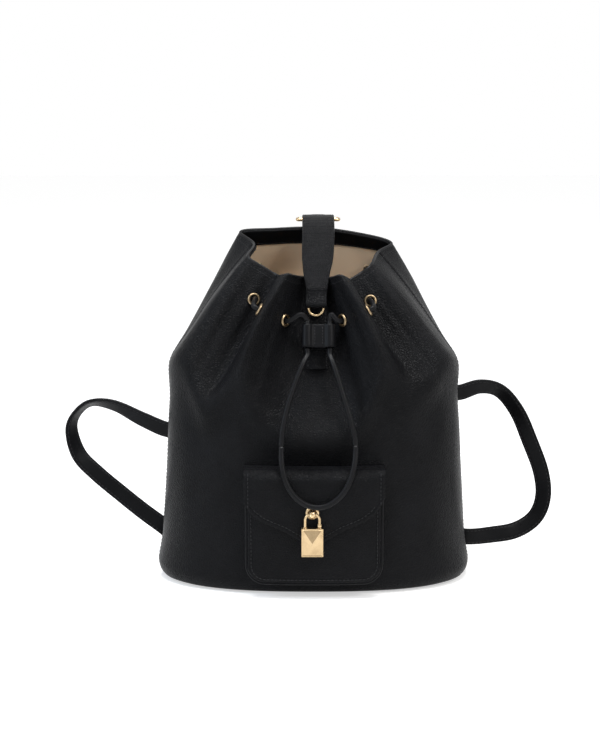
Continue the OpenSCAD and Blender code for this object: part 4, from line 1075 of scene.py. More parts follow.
# ---- front pocket ----
@dataclass
class Pocket:
    """The flat pocket with its gusset, and the flap that falls over it."""

    shape: BagShape
    width: float = 108.0
    floor: float = 12.5
    top: float = 100.0
    low_depth: float = 13.0
    top_depth: float = 17.0
    corner: float = 15.0
    over: float = 2.0
    tip: float = 46.0
    turn: float = 85.5
    flap_wall: float = 2.2
    wall: float = 2.0
    lock_x: float = -1.6
    grommet_z: float = 72.9

    def face(self, x: Array, z: Array) -> Array:
        """How far forward the pocket's face stands."""
        share = (np.asarray(z, float) - self.floor) / (self.top - self.floor)
        return -self.shape.wall_y(x, z) - (self.low_depth + (self.top_depth - self.low_depth) * share)

    def bottom(self, x: Array) -> Array:
        """Height of the pocket's lower edge."""
        flat = self.width / 2 - self.corner
        over = np.clip(np.abs(x) - flat, 0, self.corner)
        return self.floor + self.corner - np.sqrt(np.maximum(0, self.corner ** 2 - over ** 2))

    def build(self, wear: Wardrobe) -> None:
        """Builds and dresses the pocket and the flap."""
        self.front(wear)
        self.gusset(wear)
        self.root(wear)
        self.flap(wear)

    def front(self, wear: Wardrobe) -> None:
        """The pocket's face, slightly full, its edges turned back to the piping."""
        half = self.width / 2
        u = np.linspace(-1, 1, 91)
        x = half * np.sin(u * math.pi / 2 * 0.98) / math.sin(math.pi / 2 * 0.98)
        k = np.linspace(0, 1, 61)
        X, K = np.meshgrid(x, k, indexing="ij")
        Z = self.bottom(X) + (self.top - self.bottom(X)) * K
        edge = np.minimum(half - np.abs(X), Z - self.bottom(X))
        roll = 1.6 * np.exp(-(np.clip(edge, 0, None) / 1.3) ** 2)
        pad = 0.9 * np.sin(np.clip(edge / 16, 0, 1) * math.pi / 2)
        welt = -0.5 * np.exp(-((edge - 3.6) / 0.9) ** 2)
        Y = self.face(X, Z) + roll - pad - welt
        piece = sheet_mesh("pocket_leather", np.stack([X, Y, Z], -1), Outward.FRONT, span=(108, 88))
        thicken(piece, self.wall)
        wear.dress(piece, "pebbled", "bag", ("pocket_front",))
        inset = 3.6
        path = self.border(inset)
        pts = np.array([[p[0], float(self.face(p[0], p[1])) - 0.35, p[1]] for p in path])
        wear.dress(stitches("pocket_thread", pts, np.broadcast_to([0, -1, 0], pts.shape), 3.2, 2.5, 0.36), "thread")
        path = self.border(-0.15)
        pts = np.array([[p[0], float(self.face(min(abs(p[0]), half), max(p[1], self.floor))) + 2.1, p[1]] for p in path])
        line = even_line(pts, 1.2)
        faces = np.broadcast_to(np.array([0.0, -1.0, 0.0]), line.shape)
        wear.dress(swept("pocket_piping", line, faces, circle(1.15, 10)), "smooth")

    def border(self, inset: float) -> list[tuple[float, float]]:
        """Line down one side of the pocket, along its bottom and up the other, inset from its edge."""
        half, r = self.width / 2, self.corner
        left = [(-half + inset, z) for z in (98.5, 80, 60, 40)]
        turn = [(-half + r - (r - inset) * math.cos(math.radians(a)), self.floor + r - (r - inset) * math.sin(math.radians(a))) for a in range(0, 91, 10)]
        mid = [(x, self.floor + inset) for x in (-25, -12, 0, 12, 25)]
        return left + turn + mid + [(-x, z) for x, z in turn[::-1]] + [(-x, z) for x, z in left[::-1]]

    def gusset(self, wear: Wardrobe) -> None:
        """The band between the bag's wall and the pocket's face."""
        border = even_line(np.array([(x, z) for x, z in self.border(0.0)]), 2.0)
        t = unit(np.gradient(border, axis=0))
        inward = np.stack([-t[:, 1], t[:, 0]], 1)
        cols = []
        for (x, z), (nx, nz) in zip(border, inward):
            front = float(self.face(x, z)) + self.wall + 0.4
            back = -float(self.shape.wall_y(x, z)) - 0.3
            row = []
            for k in np.linspace(0, 1, 9):
                sink = 1.1 * math.sin(k * math.pi)
                row.append((x + nx * sink, back + (front - back) * k, z + nz * sink))
            cols.append(row)
        piece = sheet_mesh("pocket_band", np.array(cols), Outward.CLOSED, span=(280, 14))
        middle = sum((f.normal.dot(Vector((f.center.x, 0, f.center.z - 0.056))) for f in piece.data.polygons))
        if middle < 0:
            piece.data.flip_normals()
        thicken(piece, self.wall)
        wear.dress(piece, "pebbled", "bag", ("pocket_gusset",))

    @property
    def hinge_y(self) -> float:
        """Where the flap's bend line lies."""
        return float(self.face(0.0, self.top)) + 11.5

    @property
    def flap_z(self) -> float:
        """Height of the flap's flat back part."""
        return self.top + 5

    @property
    def half(self) -> float:
        """Half the flap's width."""
        return self.width / 2 + self.over

    def root(self, wear: Wardrobe) -> None:
        """The sewn part of the flap between the wall and its bend."""
        x = np.linspace(-self.half, self.half, 49)
        cols = []
        for a in x:
            back = -float(self.shape.wall_y(a, self.flap_z)) - 0.3
            cols.append([(a, back + (self.hinge_y + 0.3 - back) * k, self.flap_z) for k in np.linspace(0, 1, 9)])
        piece = sheet_mesh("flap_root_leather", np.array(cols), Outward.UP, span=(112, 8))
        thicken(piece, self.flap_wall, 0.0)
        wear.dress(piece, "pebbled", "bag", ("flap_root",))

    def edge(self, x: Array) -> Array:
        """Lower edge of the flap: straight sides, then two sweeps to a rounded point."""
        u = np.abs(np.asarray(x, float) + 1) / (self.half + 1)
        sweep = np.interp(np.minimum(1, u), (0, 0.1, 0.21, 0.41, 0.6, 0.72, 0.85, 0.95, 1), (0, 0.04, 0.13, 0.3, 0.41, 0.49, 0.63, 0.83, 1))
        return self.tip + (self.turn - self.tip) * sweep

    def flap_y(self, x: Array, z: Array) -> Array:
        """How far forward the flap hangs."""
        z = np.asarray(z, float)
        base = float(self.face(0.0, self.top)) - 2.6
        return base + 3.2 * (np.abs(x) / self.half) ** 2 + np.where(z < 60, (60 - z) * 0.02, 0)

    def flap_place(self, x: Array, k: Array) -> Array:
        """A place in the flap's middle layer: k from 0 at the lower edge to 1 at the roll, and on to 2 at the hinge."""
        r = self.flap_z - 7
        e = self.edge(x)
        z = e + (r - e) * np.clip(k, 0, 1)
        y = self.flap_y(x, z)
        a = np.clip((k - 1) / 0.85, 0, 1) * math.pi / 2
        f = self.flap_y(x, np.full_like(z, r))
        d = self.hinge_y - 4.3 - f
        yr = f + d * (1 - np.cos(a))
        zr = r + 7 * np.sin(a)
        tail = np.clip((k - 1.85) / 0.15, 0, 1)
        yr = yr + (self.hinge_y - 0.1 - yr) * tail
        return np.stack([x, np.where(k <= 1, y, yr), np.where(k <= 1, z, zr)], -1)

    def flap(self, wear: Wardrobe) -> None:
        """The flap with its rolled top, pressed border and stitching."""
        u = np.linspace(-1, 1, 101)
        x = self.half * np.sin(u * math.pi / 2)
        k = np.concatenate([np.linspace(0, 1, 44)[:-1], np.linspace(1, 1.85, 22)[:-1], np.linspace(1.85, 2, 4)])
        X, K = np.meshgrid(x, k, indexing="ij")
        P = self.flap_place(X, K)
        inset = np.minimum(self.half - np.abs(X), (P[..., 2] - self.edge(X)) * 0.8)
        groove = 0.45 * np.exp(-((inset - 3.4) / 0.8) ** 2)
        drop = 0.5 * np.exp(-(np.clip(inset, 0, None) / 1.0) ** 2)
        pad = 0.55 * np.sin(np.clip(inset / 20, 0, 1) * math.pi / 2) * np.clip((1.6 - K) / 0.6, 0, 1)
        P[..., 1] += (groove + drop) * (K < 1.2) - pad
        crease = 0.35 * np.sin(X * 0.33 + 0.8) * np.sin(X * 0.121) * np.exp(-((K - 1.12) / 0.22) ** 2)
        P[..., 1] -= crease
        piece = sheet_mesh("flap_leather", P, Outward.FRONT, span=(112, 70))
        thicken(piece, self.flap_wall, 0.0, 0.5)
        wear.dress(piece, "pebbled", "flap", ("pocket_flap",))
        for side in (-1, 1):
            zs = np.linspace(self.flap_z - 1, float(self.edge(side * (self.half - 3.4))) + 1.5, 30)
            xs = np.full_like(zs, side * (self.half - 3.4))
            y = np.where(zs > 98, self.flap_y(xs, np.full_like(zs, 98)) + (zs - 98) ** 2 * 0.05, self.flap_y(xs, zs))
            line = np.stack([xs, y - self.flap_wall / 2 - 0.05, zs], 1)
            wear.dress(stitches(f"flap_side_thread_{'left' if side < 0 else 'right'}", line, np.broadcast_to([0, -1, 0], line.shape), 3.2, 2.5, 0.36), "thread", "flap")
        xs = np.linspace(-self.half + 5, self.half - 5, 80)
        zs = self.edge(xs)
        slope = np.gradient(zs, xs)
        nx, nz = -slope / np.hypot(slope, 1), 1 / np.hypot(slope, 1)
        lx, lz = xs + nx * 3.4, zs + nz * 3.4
        line = np.stack([lx, self.flap_y(lx, lz) - self.flap_wall / 2 - 0.05, lz], 1)
        wear.dress(stitches("flap_edge_thread", line, np.broadcast_to([0, -1, 0], line.shape), 3.2, 2.5, 0.34), "thread", "flap")


@dataclass
class Padlock:
    """The padlock charm, its shackle, its staple and the grommet behind it."""

    pocket: Pocket
    width: float = 17.2
    height: float = 22.8
    depth: float = 6.4
    pyramid: float = 2.6
    top: float = 61.8
    wire: float = 2.3
    bow_width: float = 13.6
    out: float = 5.4

    @property
    def x(self) -> float:
        """Middle of the padlock across the bag."""
        return self.pocket.lock_x

    @property
    def y(self) -> float:
        """Middle of the padlock front to back."""
        return float(self.pocket.flap_y(self.x, self.pocket.grommet_z)) - self.out

    def build(self, wear: Wardrobe, nodes: dict[str, bpy.types.Object]) -> None:
        """Builds and dresses the padlock."""
        self.case(wear)
        self.shackle(wear)
        z, y = self.pocket.grommet_z, self.y + self.out
        place = Matrix.Translation(Vector((self.x, y, z)) * MM) @ Matrix.Rotation(math.pi / 2, 4, "X")
        ring = [(2.8, -1.7), (2.8, 1.7), (2.95, 2.05), (3.35, 2.3), (3.9, 2.3), (4.6, 2.1), (5.2, 1.75), (5.5, 1.3), (5.4, 1.15), (3.6, 1.15), (3.6, -1.7)]
        wear.dress(lathe("grommet_ring", ring, place, 48), "gold", "flap", ("flap_grommet",))
        wear.redress(nodes, "gold", "padlock_staple", "padlock_pin", "flap_magnet", "pocket_magnet")

    def case(self, wear: Wardrobe) -> None:
        """The case: a rounded block whose front rises to a low faceted point."""
        bm = bmesh.new()
        z0 = self.top - self.height
        bmesh.ops.create_cube(bm, size=1.0, matrix=Matrix.Translation(Vector((self.x, self.y, z0 + self.height / 2)) * MM) @ Matrix.Diagonal((self.width * MM, self.depth * MM, self.height * MM, 1)))
        front = min(bm.faces, key=lambda f: f.calc_center_median().y)
        bmesh.ops.inset_region(bm, faces=[front], thickness=1.1 * MM, depth=0.0)
        bmesh.ops.inset_region(bm, faces=[front], thickness=0.5 * MM, depth=-0.35 * MM)
        peak = bmesh.ops.poke(bm, faces=[front])["verts"][0]
        peak.co.y -= (self.pyramid + 0.3) * MM
        sharp = [e for e in bm.edges if e.is_manifold and e.calc_face_angle() > 0.2]
        bmesh.ops.bevel(bm, geom=sharp, offset=0.28 * MM, segments=2, profile=0.5, affect="EDGES", material=-1)
        bmesh.ops.recalc_face_normals(bm, faces=bm.faces)
        piece = from_bmesh("padlock_case", bm, smooth=False)
        for p in piece.data.polygons:
            p.use_smooth = p.area < 8e-7
        wear.dress(piece, "gold", "lock", ("padlock_body",))
        leg = (self.bow_width - self.wire) / 2
        for k, shift in enumerate((-1.85, 1.85)):
            place = Matrix.Translation(Vector((self.x + leg, self.y + shift, self.top + 2.2)) * MM) @ Matrix.Rotation(math.pi / 2, 4, "X")
            cheek = lathe(f"padlock_cheek_{k + 1}", [(0, -0.5), (1.35, -0.5), (1.5, -0.35), (1.5, 0.35), (1.35, 0.5), (0, 0.5)], place, 28)
            wear.dress(cheek, "gold", "lock")
        for k, side in enumerate((-1, 1)):
            place = Matrix.Translation(Vector((self.x + side * leg, self.y, self.top - 0.2)) * MM)
            collar = [(1.5, 0), (2.15, 0), (2.15, 0.5), (1.95, 0.75), (1.5, 0.75)] if side < 0 else [(0.0, 0), (2.1, 0), (2.1, 0.4), (1.9, 0.6), (0.0, 0.6)]
            wear.dress(lathe(f"padlock_collar_{k + 1}", collar, place, 28), "gold", "lock")

    def shackle(self, wear: Wardrobe) -> None:
        """The bow of round wire."""
        leg = (self.bow_width - self.wire) / 2
        r = leg - 1.2
        arch = self.pocket.grommet_z + 0.05
        pts = [(-leg, self.top - 1.5)] + [(-leg, z) for z in np.linspace(self.top - 0.5, arch - r, 5)]
        pts += [(-1.2 - r * math.cos(math.radians(a)), arch - r + r * math.sin(math.radians(a))) for a in range(12, 91, 13)]
        pts += [(-x, z) for x, z in pts[::-1][: len(pts) - 1]]
        path = np.array([(self.x + x, self.y, z) for x, z in pts])
        path[-1, 2] = self.top + 2.2
        path = path[[k for k in range(len(path)) if k == len(path) - 1 or path[k, 0] < self.x or path[k, 2] > self.top + 2.4]]
        line = even_line(smooth_line(path, 3), 0.5)
        piece = swept("padlock_bow", line, np.broadcast_to(np.array([0.0, -1.0, 0.0]), line.shape), circle(self.wire / 2, 16))
        wear.dress(piece, "gold", "shackle", ("padlock_shackle",))
        place = Matrix.Translation(Vector((self.x + leg, self.y, self.top + 2.2)) * MM) @ Matrix.Rotation(math.pi / 2, 4, "X")
        eye = lathe("padlock_bow_end", [(0.66, -0.75), (1.4, -0.75), (1.5, -0.6), (1.5, 0.6), (1.4, 0.75), (0.66, 0.75)], place, 28)
        wear.dress(eye, "gold", "shackle")


# ---- closure strap ----
@dataclass
class Closure:
    """The strap over the mouth, its ring and tab, and the tab that it closes on."""

    shape: BagShape
    thick: float = 2.6
    wide: float = 27.0
    end: float = 17.0
    ring_z: float = 293.0
    ring_y: tuple[float, float] = (45.0, 54.5)
    ring_x: tuple[float, float] = (-13.5, 21.5)
    ring_wire: float = 1.5
    pull: tuple[float, float, float] = (1.6, -39.452, 231.87)
    pull_wire: float = 1.2
    strap_out: float = 12.2

    def build(self, wear: Wardrobe, nodes: dict[str, bpy.types.Object]) -> None:
        """Builds and dresses the strap and what it hangs from."""
        self.strap(wear)
        self.tab(wear)
        self.rings(wear)
        self.ring_tab(wear)
        wear.redress(nodes, "gold", "tab_magnet", "strap_magnet")

    def strap(self, wear: Wardrobe) -> None:
        """The strap, turned round the ring behind and round the pull ring in front."""
        y0, z0 = self.ring_y[0], self.ring_z
        r = self.ring_wire + 0.15 + self.thick / 2
        px, py, pz = self.pull
        q = self.pull_wire + 0.15 + 1.0
        d, o = self.shape.slope_dir(), self.shape.slope_out()
        turn = [(4, y0 + r * math.sin(math.radians(a)), z0 + r * math.cos(math.radians(a))) for a in range(168, -1, -24)]
        under = [(4, y0 - 13, z0 - 5.3), (4, y0 - 7, z0 - 4.3)]
        over = [(4, 36, 294.2), (4, 20, 287.5), (3.6, 2, 275.5), (3, -12, 265), (2.3, -22, 257.3)]
        slope = [tuple(self.shape.slope_point(k, self.strap_out) + np.array([x, 0, 0])) for k, x in ((46, 2.2), (50, 2.0), (54, 1.8))]
        c = np.array([px, py, pz])
        wrap = [tuple(c + o * q * math.cos(math.radians(a)) * 1.0 + d * q * math.sin(math.radians(a))) for a in (0, 30, 60, 90, 120, 150)]
        pts = np.array(under + turn + over + slope + wrap, float)
        w = [self.wide] * (2 + len(turn)) + [27, 27, 26.6, 25.4, 22.5] + [18.2, 17.2, 17.0] + [self.end] * len(wrap)
        th = [0.8, 1.0] + [1.0] * (len(turn) + 5) + [1.0, 1.0, 0.92] + [0.8] * len(wrap)
        both = smooth_line(np.hstack([pts, np.array(w)[:, None], np.array(th)[:, None]]), 6)
        line = even_line(both, 0.9)
        p = line[:, :3]
        t = headings(p)
        faces = np.cross(t, np.broadcast_to(np.array([-1.0, 0.0, 0.0]), p.shape))
        creases = 1 + 0.05 * np.sin(np.arange(len(p)) * 1.9) * np.exp(-((p[:, 2] - 252) / 14) ** 2) + 0.03 * np.sin(np.arange(len(p)) * 1.13)
        outline = strap_outline(self.wide, self.thick, 0.25, 0.9)
        piece = swept("closure_leather", p, faces, outline, widths=line[:, 3] / self.wide, heights=line[:, 4] * creases)
        wear.dress(piece, "pebbled", "closure", ("closure_strap",))
        for side in (-1, 1):
            keep = (p[:, 2] < 290) & (np.arange(len(p)) > len(p) * 0.3)
            sel = p[keep]
            off = unit(np.cross(faces, t))[keep] * (side * (line[keep, 3] / 2 - 2.4))[:, None]
            nrm = unit(np.cross(t, unit(np.cross(faces, t))))[keep]
            row = sel + off + nrm * (self.thick / 2 * 0.98)
            wear.dress(stitches(f"closure_thread_{'left' if side < 0 else 'right'}", row[:-8], nrm[:-8], 3.0, 2.3, 0.32), "thread", "closure")

    def tab(self, wear: Wardrobe) -> None:
        """The tab on the front slope."""
        drops = (43.4, 44.2, 50, 60, 76, 92, 104, 106.4, 107.4)
        p = np.array([self.shape.slope_point(k, 3.2) + np.array([2.5, 0, 0]) for k in drops])
        w = np.array([10, 13.6, 15, 16.5, 19, 19.4, 19.2, 18, 14.5])
        both = even_line(smooth_line(np.hstack([p, w[:, None]]), 6), 1.0)
        faces = np.broadcast_to(self.shape.slope_out(), both[:, :3].shape)
        piece = swept("front_tab_leather", both[:, :3], faces, strap_outline(19, 2.4, 0.3, 0.8), widths=both[:, 3] / 19)
        wear.dress(piece, "pebbled", "bag", ("front_tab",))
        for side in (-1, 1):
            row = both[6:-4, :3] + self.shape.slope_out() * 1.25
            row[:, 0] += side * (both[6:-4, 3] / 2 - 2.3)
            wear.dress(stitches(f"tab_thread_{'left' if side < 0 else 'right'}", row, np.broadcast_to(self.shape.slope_out(), row.shape), 2.8, 2.1, 0.3), "thread")

    def rings(self, wear: Wardrobe) -> None:
        """The ring behind the mouth and the pull ring."""
        (xa, xb), (ya, yb), z = self.ring_x, self.ring_y, self.ring_z
        r = 1.6
        corners = [((xb - r, yb - r), 0), ((xa + r, yb - r), 90), ((xa + r, ya + r), 180), ((xb - r, ya + r), 270)]
        pts = [(cx + r * math.cos(math.radians(a0 + a)), cy + r * math.sin(math.radians(a0 + a)), z) for (cx, cy), a0 in corners for a in range(0, 91, 15)]
        line = even_line(np.array(pts + pts[:1]), 0.7)[:-1]
        ring = swept("top_ring_wire", line, np.broadcast_to(np.array([0.0, 0.0, 1.0]), line.shape), circle(self.ring_wire, 16), ends=Ends.JOINED)
        wear.dress(ring, "gold", "bag", ("top_ring",))
        px, py, pz = self.pull
        k = self.end / 2 - 2.4
        bow = [(-k, 0.0), (-k, -3.0)] + [(-k * math.cos(math.radians(a)), -3.0 - k * math.sin(math.radians(a))) for a in range(15, 166, 15)] + [(k, -3.0), (k, 0.0), (0.0, 0.0)]
        pts = np.array([(px + x, py, pz + zz) for x, zz in bow])
        closed = np.vstack([pts, pts[:1]])
        line = even_line(smooth_line(closed, 4), 0.6)[:-1]
        pull = swept("pull_wire", line, np.broadcast_to(np.array([0.0, -1.0, 0.0]), line.shape), circle(self.pull_wire, 14), ends=Ends.JOINED)
        wear.dress(pull, "gold", "pull", ("pull_ring",))

    def ring_tab(self, wear: Wardrobe) -> None:
        """The tab that holds the rear ring and is sewn to the back."""
        sh = self.shape
        y, z = self.ring_y[1], self.ring_z
        r = self.ring_wire + 0.15 + 1.0
        back = lambda v, d: np.array([3.6, sh.raw(0.0, v)[1], sh.raw(0.0, v)[2]]) + sh.normal(0.0, v) * d
        wrap = [(3.6, y + r * math.sin(math.radians(a)), z + r * math.cos(math.radians(a))) for a in range(-150, 91, 24)]
        down = [(3.6, y + r, z - 4), tuple(back(1.92, 4.6)), tuple(back(1.85, 3.6)), tuple(back(1.75, 2.9)), tuple(back(1.65, 2.5)), tuple(back(1.56, 2.3))]
        line = even_line(smooth_line(np.array(wrap + down), 5), 0.9)
        t = headings(line)
        faces = np.cross(t, np.broadcast_to(np.array([-1.0, 0.0, 0.0]), line.shape))
        piece = swept("ring_tab_leather", line, faces, strap_outline(16, 2.0, 0.25, 0.8))
        wear.dress(piece, "pebbled", "bag", ("ring_tab",))


# ---- shoulder straps ----
@dataclass
class ShoulderStrap:
    """One shoulder strap from the patch on the back to its lower ring."""

    shape: BagShape
    side: float
    route: tuple[tuple[float, float, float], ...]
    faces: tuple[tuple[float, float, float], ...]
    width: float = 14.5
    thick: float = 3.0
    wire: float = 1.4
    low_x: float = 100.0
    low_z: float = 17.0
    seat: float = 3.6
    far: float = 14.0

    @property
    def label(self) -> str:
        """Name of its side."""
        return "left" if self.side < 0 else "right"

    def tangent(self) -> Array:
        """Direction along the back wall, away from its middle, at the lower ring."""
        a = np.array([self.side * self.low_x, float(self.shape.wall_y(self.low_x, self.low_z)), 0])
        b = np.array([self.side * (self.low_x + 0.5), float(self.shape.wall_y(self.low_x + 0.5, self.low_z)), 0])
        return unit(b - a)

    def out(self) -> Array:
        """Direction out of the back wall at the lower ring."""
        t = self.tangent()
        return self.side * np.array([-t[1], t[0], 0])

    def low(self, along: float, out: float) -> Array:
        """A place by the lower ring."""
        return np.array([self.side * self.low_x, float(self.shape.wall_y(self.low_x, self.low_z)), self.low_z]) + self.tangent() * along + self.out() * out

    def plain(self, s: float, v: float, d: float) -> Array:
        """A place off the plain back slope."""
        r = self.shape.raw
        n = unit(np.cross(r(s + 0.05, v) - r(s - 0.05, v), r(s, v + 0.03) - r(s, v - 0.03)))
        return r(s, v) + n * d

    def build(self, wear: Wardrobe) -> None:
        """Builds the strap, its lower tab and its ring."""
        r = self.wire + 0.15 + self.thick / 2
        root = [self.plain(-self.side * a, v, 2.3) for a, v in ((0.2, 1.46), (0.24, 1.34), (0.32, 1.2), (0.5, 1.04))]
        t, o = self.tangent(), self.out()
        c = self.low(self.far, self.seat)
        near = [self.low(self.far + 9, self.seat + self.thick / 2 + 0.6)]
        wrap = [c + o * r * math.cos(math.radians(a)) - t * r * math.sin(math.radians(a)) for a in (0, 36, 72, 108, 144, 180)]
        tail = [c - o * (r - 0.2) + t * 6, c - o * (r - 1.4) + t * 12]
        pts = np.array(root + [np.array(p, float) for p in self.route] + near + wrap + tail)
        lead = [np.array([0, 1, 0.3])] * 4 + [np.array(f, float) for f in self.faces] + [o]
        turned = [o * math.cos(math.radians(a)) - t * math.sin(math.radians(a)) for a in (0, 36, 72, 108, 144, 180)]
        normals = np.array(lead + turned + [-o, -o])
        both = even_line(smooth_line(np.hstack([pts, normals]), 8), 1.6)
        p, f = both[:, :3], unit(both[:, 3:])
        piece = swept(f"shoulder_leather_{self.label}", p, f, strap_outline(self.width, self.thick, 0.35, 0.9))
        wear.dress(piece, "smooth", "bag", (f"shoulder_strap_{self.label}",))
        tt = headings(p)
        side = unit(np.cross(f, tt))
        up = np.cross(tt, side)
        for k, shift in enumerate((-1, 1)):
            for m, face in enumerate((1, -1)):
                row = (p + side * shift * (self.width / 2 - 2.0) + up * face * (self.thick / 2 - 0.12))[14:-12]
                wear.dress(stitches(f"shoulder_thread_{self.label}_{k * 2 + m + 1}", row, (up * face)[14:-12], 3.6, 2.8, 0.3), "thread")
        self.lower(wear)

    def lower(self, wear: Wardrobe) -> None:
        """The lower tab, sewn to the wall and turned round its ring."""
        t, o = self.tangent(), self.out()
        r = self.wire + 0.15 + 1.0
        c = self.low(4, self.seat)
        wrap = [c - o * r * math.cos(math.radians(a)) + t * r * math.sin(math.radians(a)) for a in (20, 55, 90, 125, 160)]
        tail = []
        for a in (-2, -8, -16, -24):
            q = self.low(a, 0)
            x = abs(q[0])
            tail.append(np.array([self.side * x, float(self.shape.wall_y(x, self.low_z)), self.low_z]) + o * 2.1)
        head = [self.low(0.5, self.seat + r - 0.2)]
        pts = np.array(wrap + head + tail)
        line = even_line(smooth_line(pts, 6), 0.9)
        th = headings(line)
        faces = np.cross(th, np.broadcast_to(np.array([0.0, 0.0, self.side]), line.shape))
        piece = swept(f"lower_tab_leather_{self.label}", line, faces, strap_outline(14, 2.0, 0.25, 0.8))
        wear.dress(piece, "smooth", "bag", (f"lower_tab_{self.label}",))
        h = self.width / 2 + 2.2
        turn = Matrix.Rotation(math.atan2(t[1], t[0]), 4, "Z")
        base = Vector(self.low(4, self.seat))
        reach = self.far - 4
        q = 1.5
        corners = [((reach - q, h - q), 0), ((q, h - q), 90), ((q, -h + q), 180), ((reach - q, -h + q), 270)]
        flat = [(cx + q * math.cos(math.radians(a0 + a)), cz + q * math.sin(math.radians(a0 + a))) for (cx, cz), a0 in corners for a in range(0, 91, 15)]
        pts = np.array([tuple(base + turn @ Vector((x, 0, zz))) for x, zz in flat])
        line = even_line(np.vstack([pts, pts[:1]]), 0.8)[:-1]
        ring = swept(f"lower_ring_wire_{self.label}", line, np.broadcast_to(o, line.shape), circle(self.wire, 14), ends=Ends.JOINED)
        wear.dress(ring, "gold", "bag", (f"lower_ring_{self.label}",))


@dataclass
class BackPatch:
    """The patch that covers the roots of the shoulder straps."""

    shape: BagShape

    def build(self, wear: Wardrobe) -> None:
        """Builds and dresses the patch."""
        s, v = np.linspace(-0.62, 0.62, 45), np.linspace(1.2, 1.5, 25)
        S, V = np.meshgrid(s, v, indexing="ij")
        r = self.shape.raw
        n = unit(np.cross(r(S + 0.05, V) - r(S - 0.05, V), r(S, V + 0.03) - r(S, V - 0.03)))
        edge = np.minimum((0.62 - np.abs(S)) / 0.62 * 18, np.minimum(V - 1.2, 1.5 - V) / 0.15 * 13)
        lift = 4.3 + 2.0 - 2.4 * np.exp(-(edge / 2.2) ** 2)
        piece = sheet_mesh("strap_patch_leather", r(S, V) + n * lift[..., None], Outward.AXIS, span=(46, 40))
        thicken(piece, 2.0)
        wear.dress(piece, "pebbled", "bag", ("strap_patch",))
        for k, (sv, vv) in enumerate(((np.linspace(-0.56, 0.56, 30), np.full(30, 1.475)), (np.linspace(-0.56, 0.56, 30), np.full(30, 1.225)))):
            nn = unit(np.cross(r(sv + 0.05, vv) - r(sv - 0.05, vv), r(sv, vv + 0.03) - r(sv, vv - 0.03)))
            wear.dress(stitches(f"patch_thread_{k + 1}", r(sv, vv) + nn * 5.6, nn, 3.2, 2.5, 0.34), "thread")


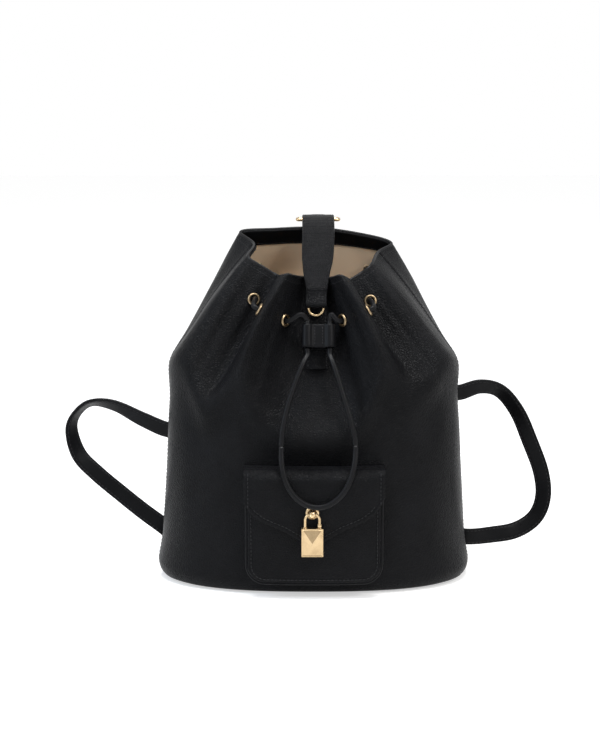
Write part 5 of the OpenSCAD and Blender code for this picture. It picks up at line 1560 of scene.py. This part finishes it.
# ---- studio ----
@dataclass
class Studio:
    """Camera, soft lamps, white surround and the floor."""

    def camera(self) -> None:
        """The camera, a little above the bag and looking slightly down."""
        data = bpy.data.cameras.new("camera")
        data.lens, data.sensor_width = 80.0, 36.0
        cam = bpy.data.objects.new("camera", data)
        cam.location = (-0.01134, -1.37106, 0.4088)
        cam.rotation_euler = (math.radians(80.0), 0, 0)
        bpy.context.scene.collection.objects.link(cam)
        bpy.context.scene.camera = cam

    def lamp(self, name: str, place: tuple[float, float, float], size: tuple[float, float], power: float, colour: tuple[float, float, float], aim: tuple[float, float, float] = (0.0, 0.0, 0.13)) -> None:
        """One soft lamp.

        Args:
            name: its name.
            place: where it stands, in metres.
            size: its width and height.
            power: its power.
            colour: its colour.
            aim: what it points at.
        """
        data = bpy.data.lights.new(name, "AREA")
        data.shape, data.size, data.size_y = "RECTANGLE", size[0], size[1]
        data.energy, data.color = power, colour
        obj = bpy.data.objects.new(name, data)
        obj.location = place
        obj.rotation_euler = (Vector(aim) - Vector(place)).to_track_quat("-Z", "Y").to_euler()
        bpy.context.scene.collection.objects.link(obj)

    def world(self) -> None:
        """White where it is seen, soft where it lights."""
        world = bpy.data.worlds.new("surround")
        bpy.context.scene.world = world
        world.use_nodes = True
        n = Nodes(world.node_tree)
        back = world.node_tree.nodes["Background"]
        path = n.add("LightPath")
        seen = n.math("MAXIMUM", path.outputs["Is Camera Ray"], n.math("MAXIMUM", path.outputs["Is Glossy Ray"], path.outputs["Is Transmission Ray"]))
        n.link(n.ranged(seen, 0.0, 1.0, 0.40, 1.0), back.inputs["Strength"])
        back.inputs["Color"].default_value = (1, 1, 1, 1)

    def floor(self) -> None:
        """White floor that keeps a soft shadow and a faint mirror image."""
        bm = bmesh.new()
        bmesh.ops.create_grid(bm, x_segments=4, y_segments=4, size=6.0)
        obj = from_bmesh("floor", bm)
        obj.location = (0, 0, -0.0006)
        mat = bpy.data.materials.new("floor_white")
        mat.use_nodes = True
        tree = mat.node_tree
        n = Nodes(tree)
        bsdf = tree.nodes["Principled BSDF"]
        out = tree.nodes["Material Output"]
        bsdf.inputs["Base Color"].default_value = (0.80, 0.80, 0.80, 1)
        bsdf.inputs["Roughness"].default_value = 0.9
        bsdf.inputs["Specular IOR Level"].default_value = 0.0
        path = n.add("LightPath")
        seen = n.math("MAXIMUM", path.outputs["Is Camera Ray"], n.math("MAXIMUM", path.outputs["Is Glossy Ray"], path.outputs["Is Transmission Ray"]))
        glow = n.add("Emission", Color=(1, 1, 1, 1))
        n.link(n.ranged(seen, 0.0, 1.0, 0.0, 0.66), glow.inputs["Strength"])
        total = n.add("AddShader")
        n.link(bsdf.outputs[0], total.inputs[0])
        n.link(glow.outputs[0], total.inputs[1])
        mirror = n.add("BsdfGlossy", Color=(1, 1, 1, 1), Roughness=0.03)
        co = n.add("SeparateXYZ")
        n.link(n.add("TexCoord").outputs["Object"], co.inputs[0])
        fade = n.ranged(co.outputs[1], -0.50, -0.07, 0.03, 0.20)
        both = n.add("MixShader")
        n.link(fade, both.inputs[0])
        n.link(total.outputs[0], both.inputs[1])
        n.link(mirror.outputs[0], both.inputs[2])
        n.link(both.outputs[0], out.inputs["Surface"])
        obj.data.materials.append(mat)

    def build(self) -> None:
        """Sets up the surround, the floor and the lamps."""
        self.world()
        self.floor()
        self.lamp("lamp_right", (1.0, -1.0, 1.35), (0.5, 0.5), 12.0, (1.0, 0.98, 0.95))
        self.lamp("lamp_left", (-1.3, -0.55, 0.95), (0.35, 1.1), 11.0, (0.72, 0.85, 1.0))
        self.lamp("lamp_top", (0.0, -0.32, 1.5), (1.0, 0.4), 24.0, (1.0, 1.0, 1.0))


LEFT = (((-50, 72, 177), (-74, 68.5, 150), (-98, 61, 124), (-114, 60, 111), (-127, 61, 107.5), (-150, 66, 116), (-175, 72, 127), (-196, 74, 129), (-209, 73, 119), (-213, 70, 105), (-206, 65, 84), (-190, 61, 68), (-170, 57, 52), (-150, 52, 37), (-132, 47, 25)),
        ((-0.2, 1, 0), (-0.4, 1, 0), (-0.5, 1, 0), (-0.3, 1, 0.1), (-0.1, 1, 0.2), (0, 1, 0.4), (0, 1, 0.9), (-0.2, 0.5, 1), (-0.8, 0.5, 0.7), (-1, 0.8, 0.2), (-0.7, 1, -0.1), (-0.4, 1, -0.2), (-0.3, 1, -0.3), (-0.3, 1, -0.2), (-0.4, 1, -0.1)))
RIGHT = (((54, 71.5, 182), (78, 66.5, 162), (102, 58, 148), (116, 57, 143), (128, 60, 141), (147, 67, 145), (165, 71, 140), (180, 69, 122), (191, 66, 97), (201, 62, 70), (203, 58, 48), (196, 56, 30), (179, 53, 19), (156, 48, 16), (135, 42, 16)),
         ((0.2, 1, 0), (0.4, 1, 0), (0.5, 1, 0), (0.3, 1, 0.1), (0.1, 1, 0.2), (0.1, 1, 0.4), (0.3, 1, 0.5), (0.4, 1, 0.3), (0.3, 1, 0.1), (0.4, 1, 0), (0.5, 1, -0.2), (0.3, 1, -0.5), (0.1, 1, -0.4), (0.3, 1, -0.1), (0.4, 1, 0)))


def main() -> None:
    """Builds the backpack round the frame."""
    logging.basicConfig(level=logging.INFO, format="%(message)s")
    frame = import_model()
    scene = bpy.context.scene
    scene.view_settings.view_transform = "Standard"
    wear = Wardrobe()
    studio = Studio()
    studio.camera()
    shape = BagShape()
    cord = Drawcord(shape)
    cord.build_loop(wear)
    cord.build_held(wear)
    cord.build_keeper(wear)
    Eyelets(cord).build(wear)
    Body(shape).build(wear)
    pocket = Pocket(shape)
    pocket.build(wear)
    Padlock(pocket).build(wear, frame["nodes"])
    Closure(shape).build(wear, frame["nodes"])
    ShoulderStrap(shape, -1.0, *LEFT).build(wear)
    ShoulderStrap(shape, 1.0, *RIGHT).build(wear)
    BackPatch(shape).build(wear)
    wear.redress(frame["nodes"], "board", "base_board")
    studio.build()


if __name__ == "__main__":
    main()
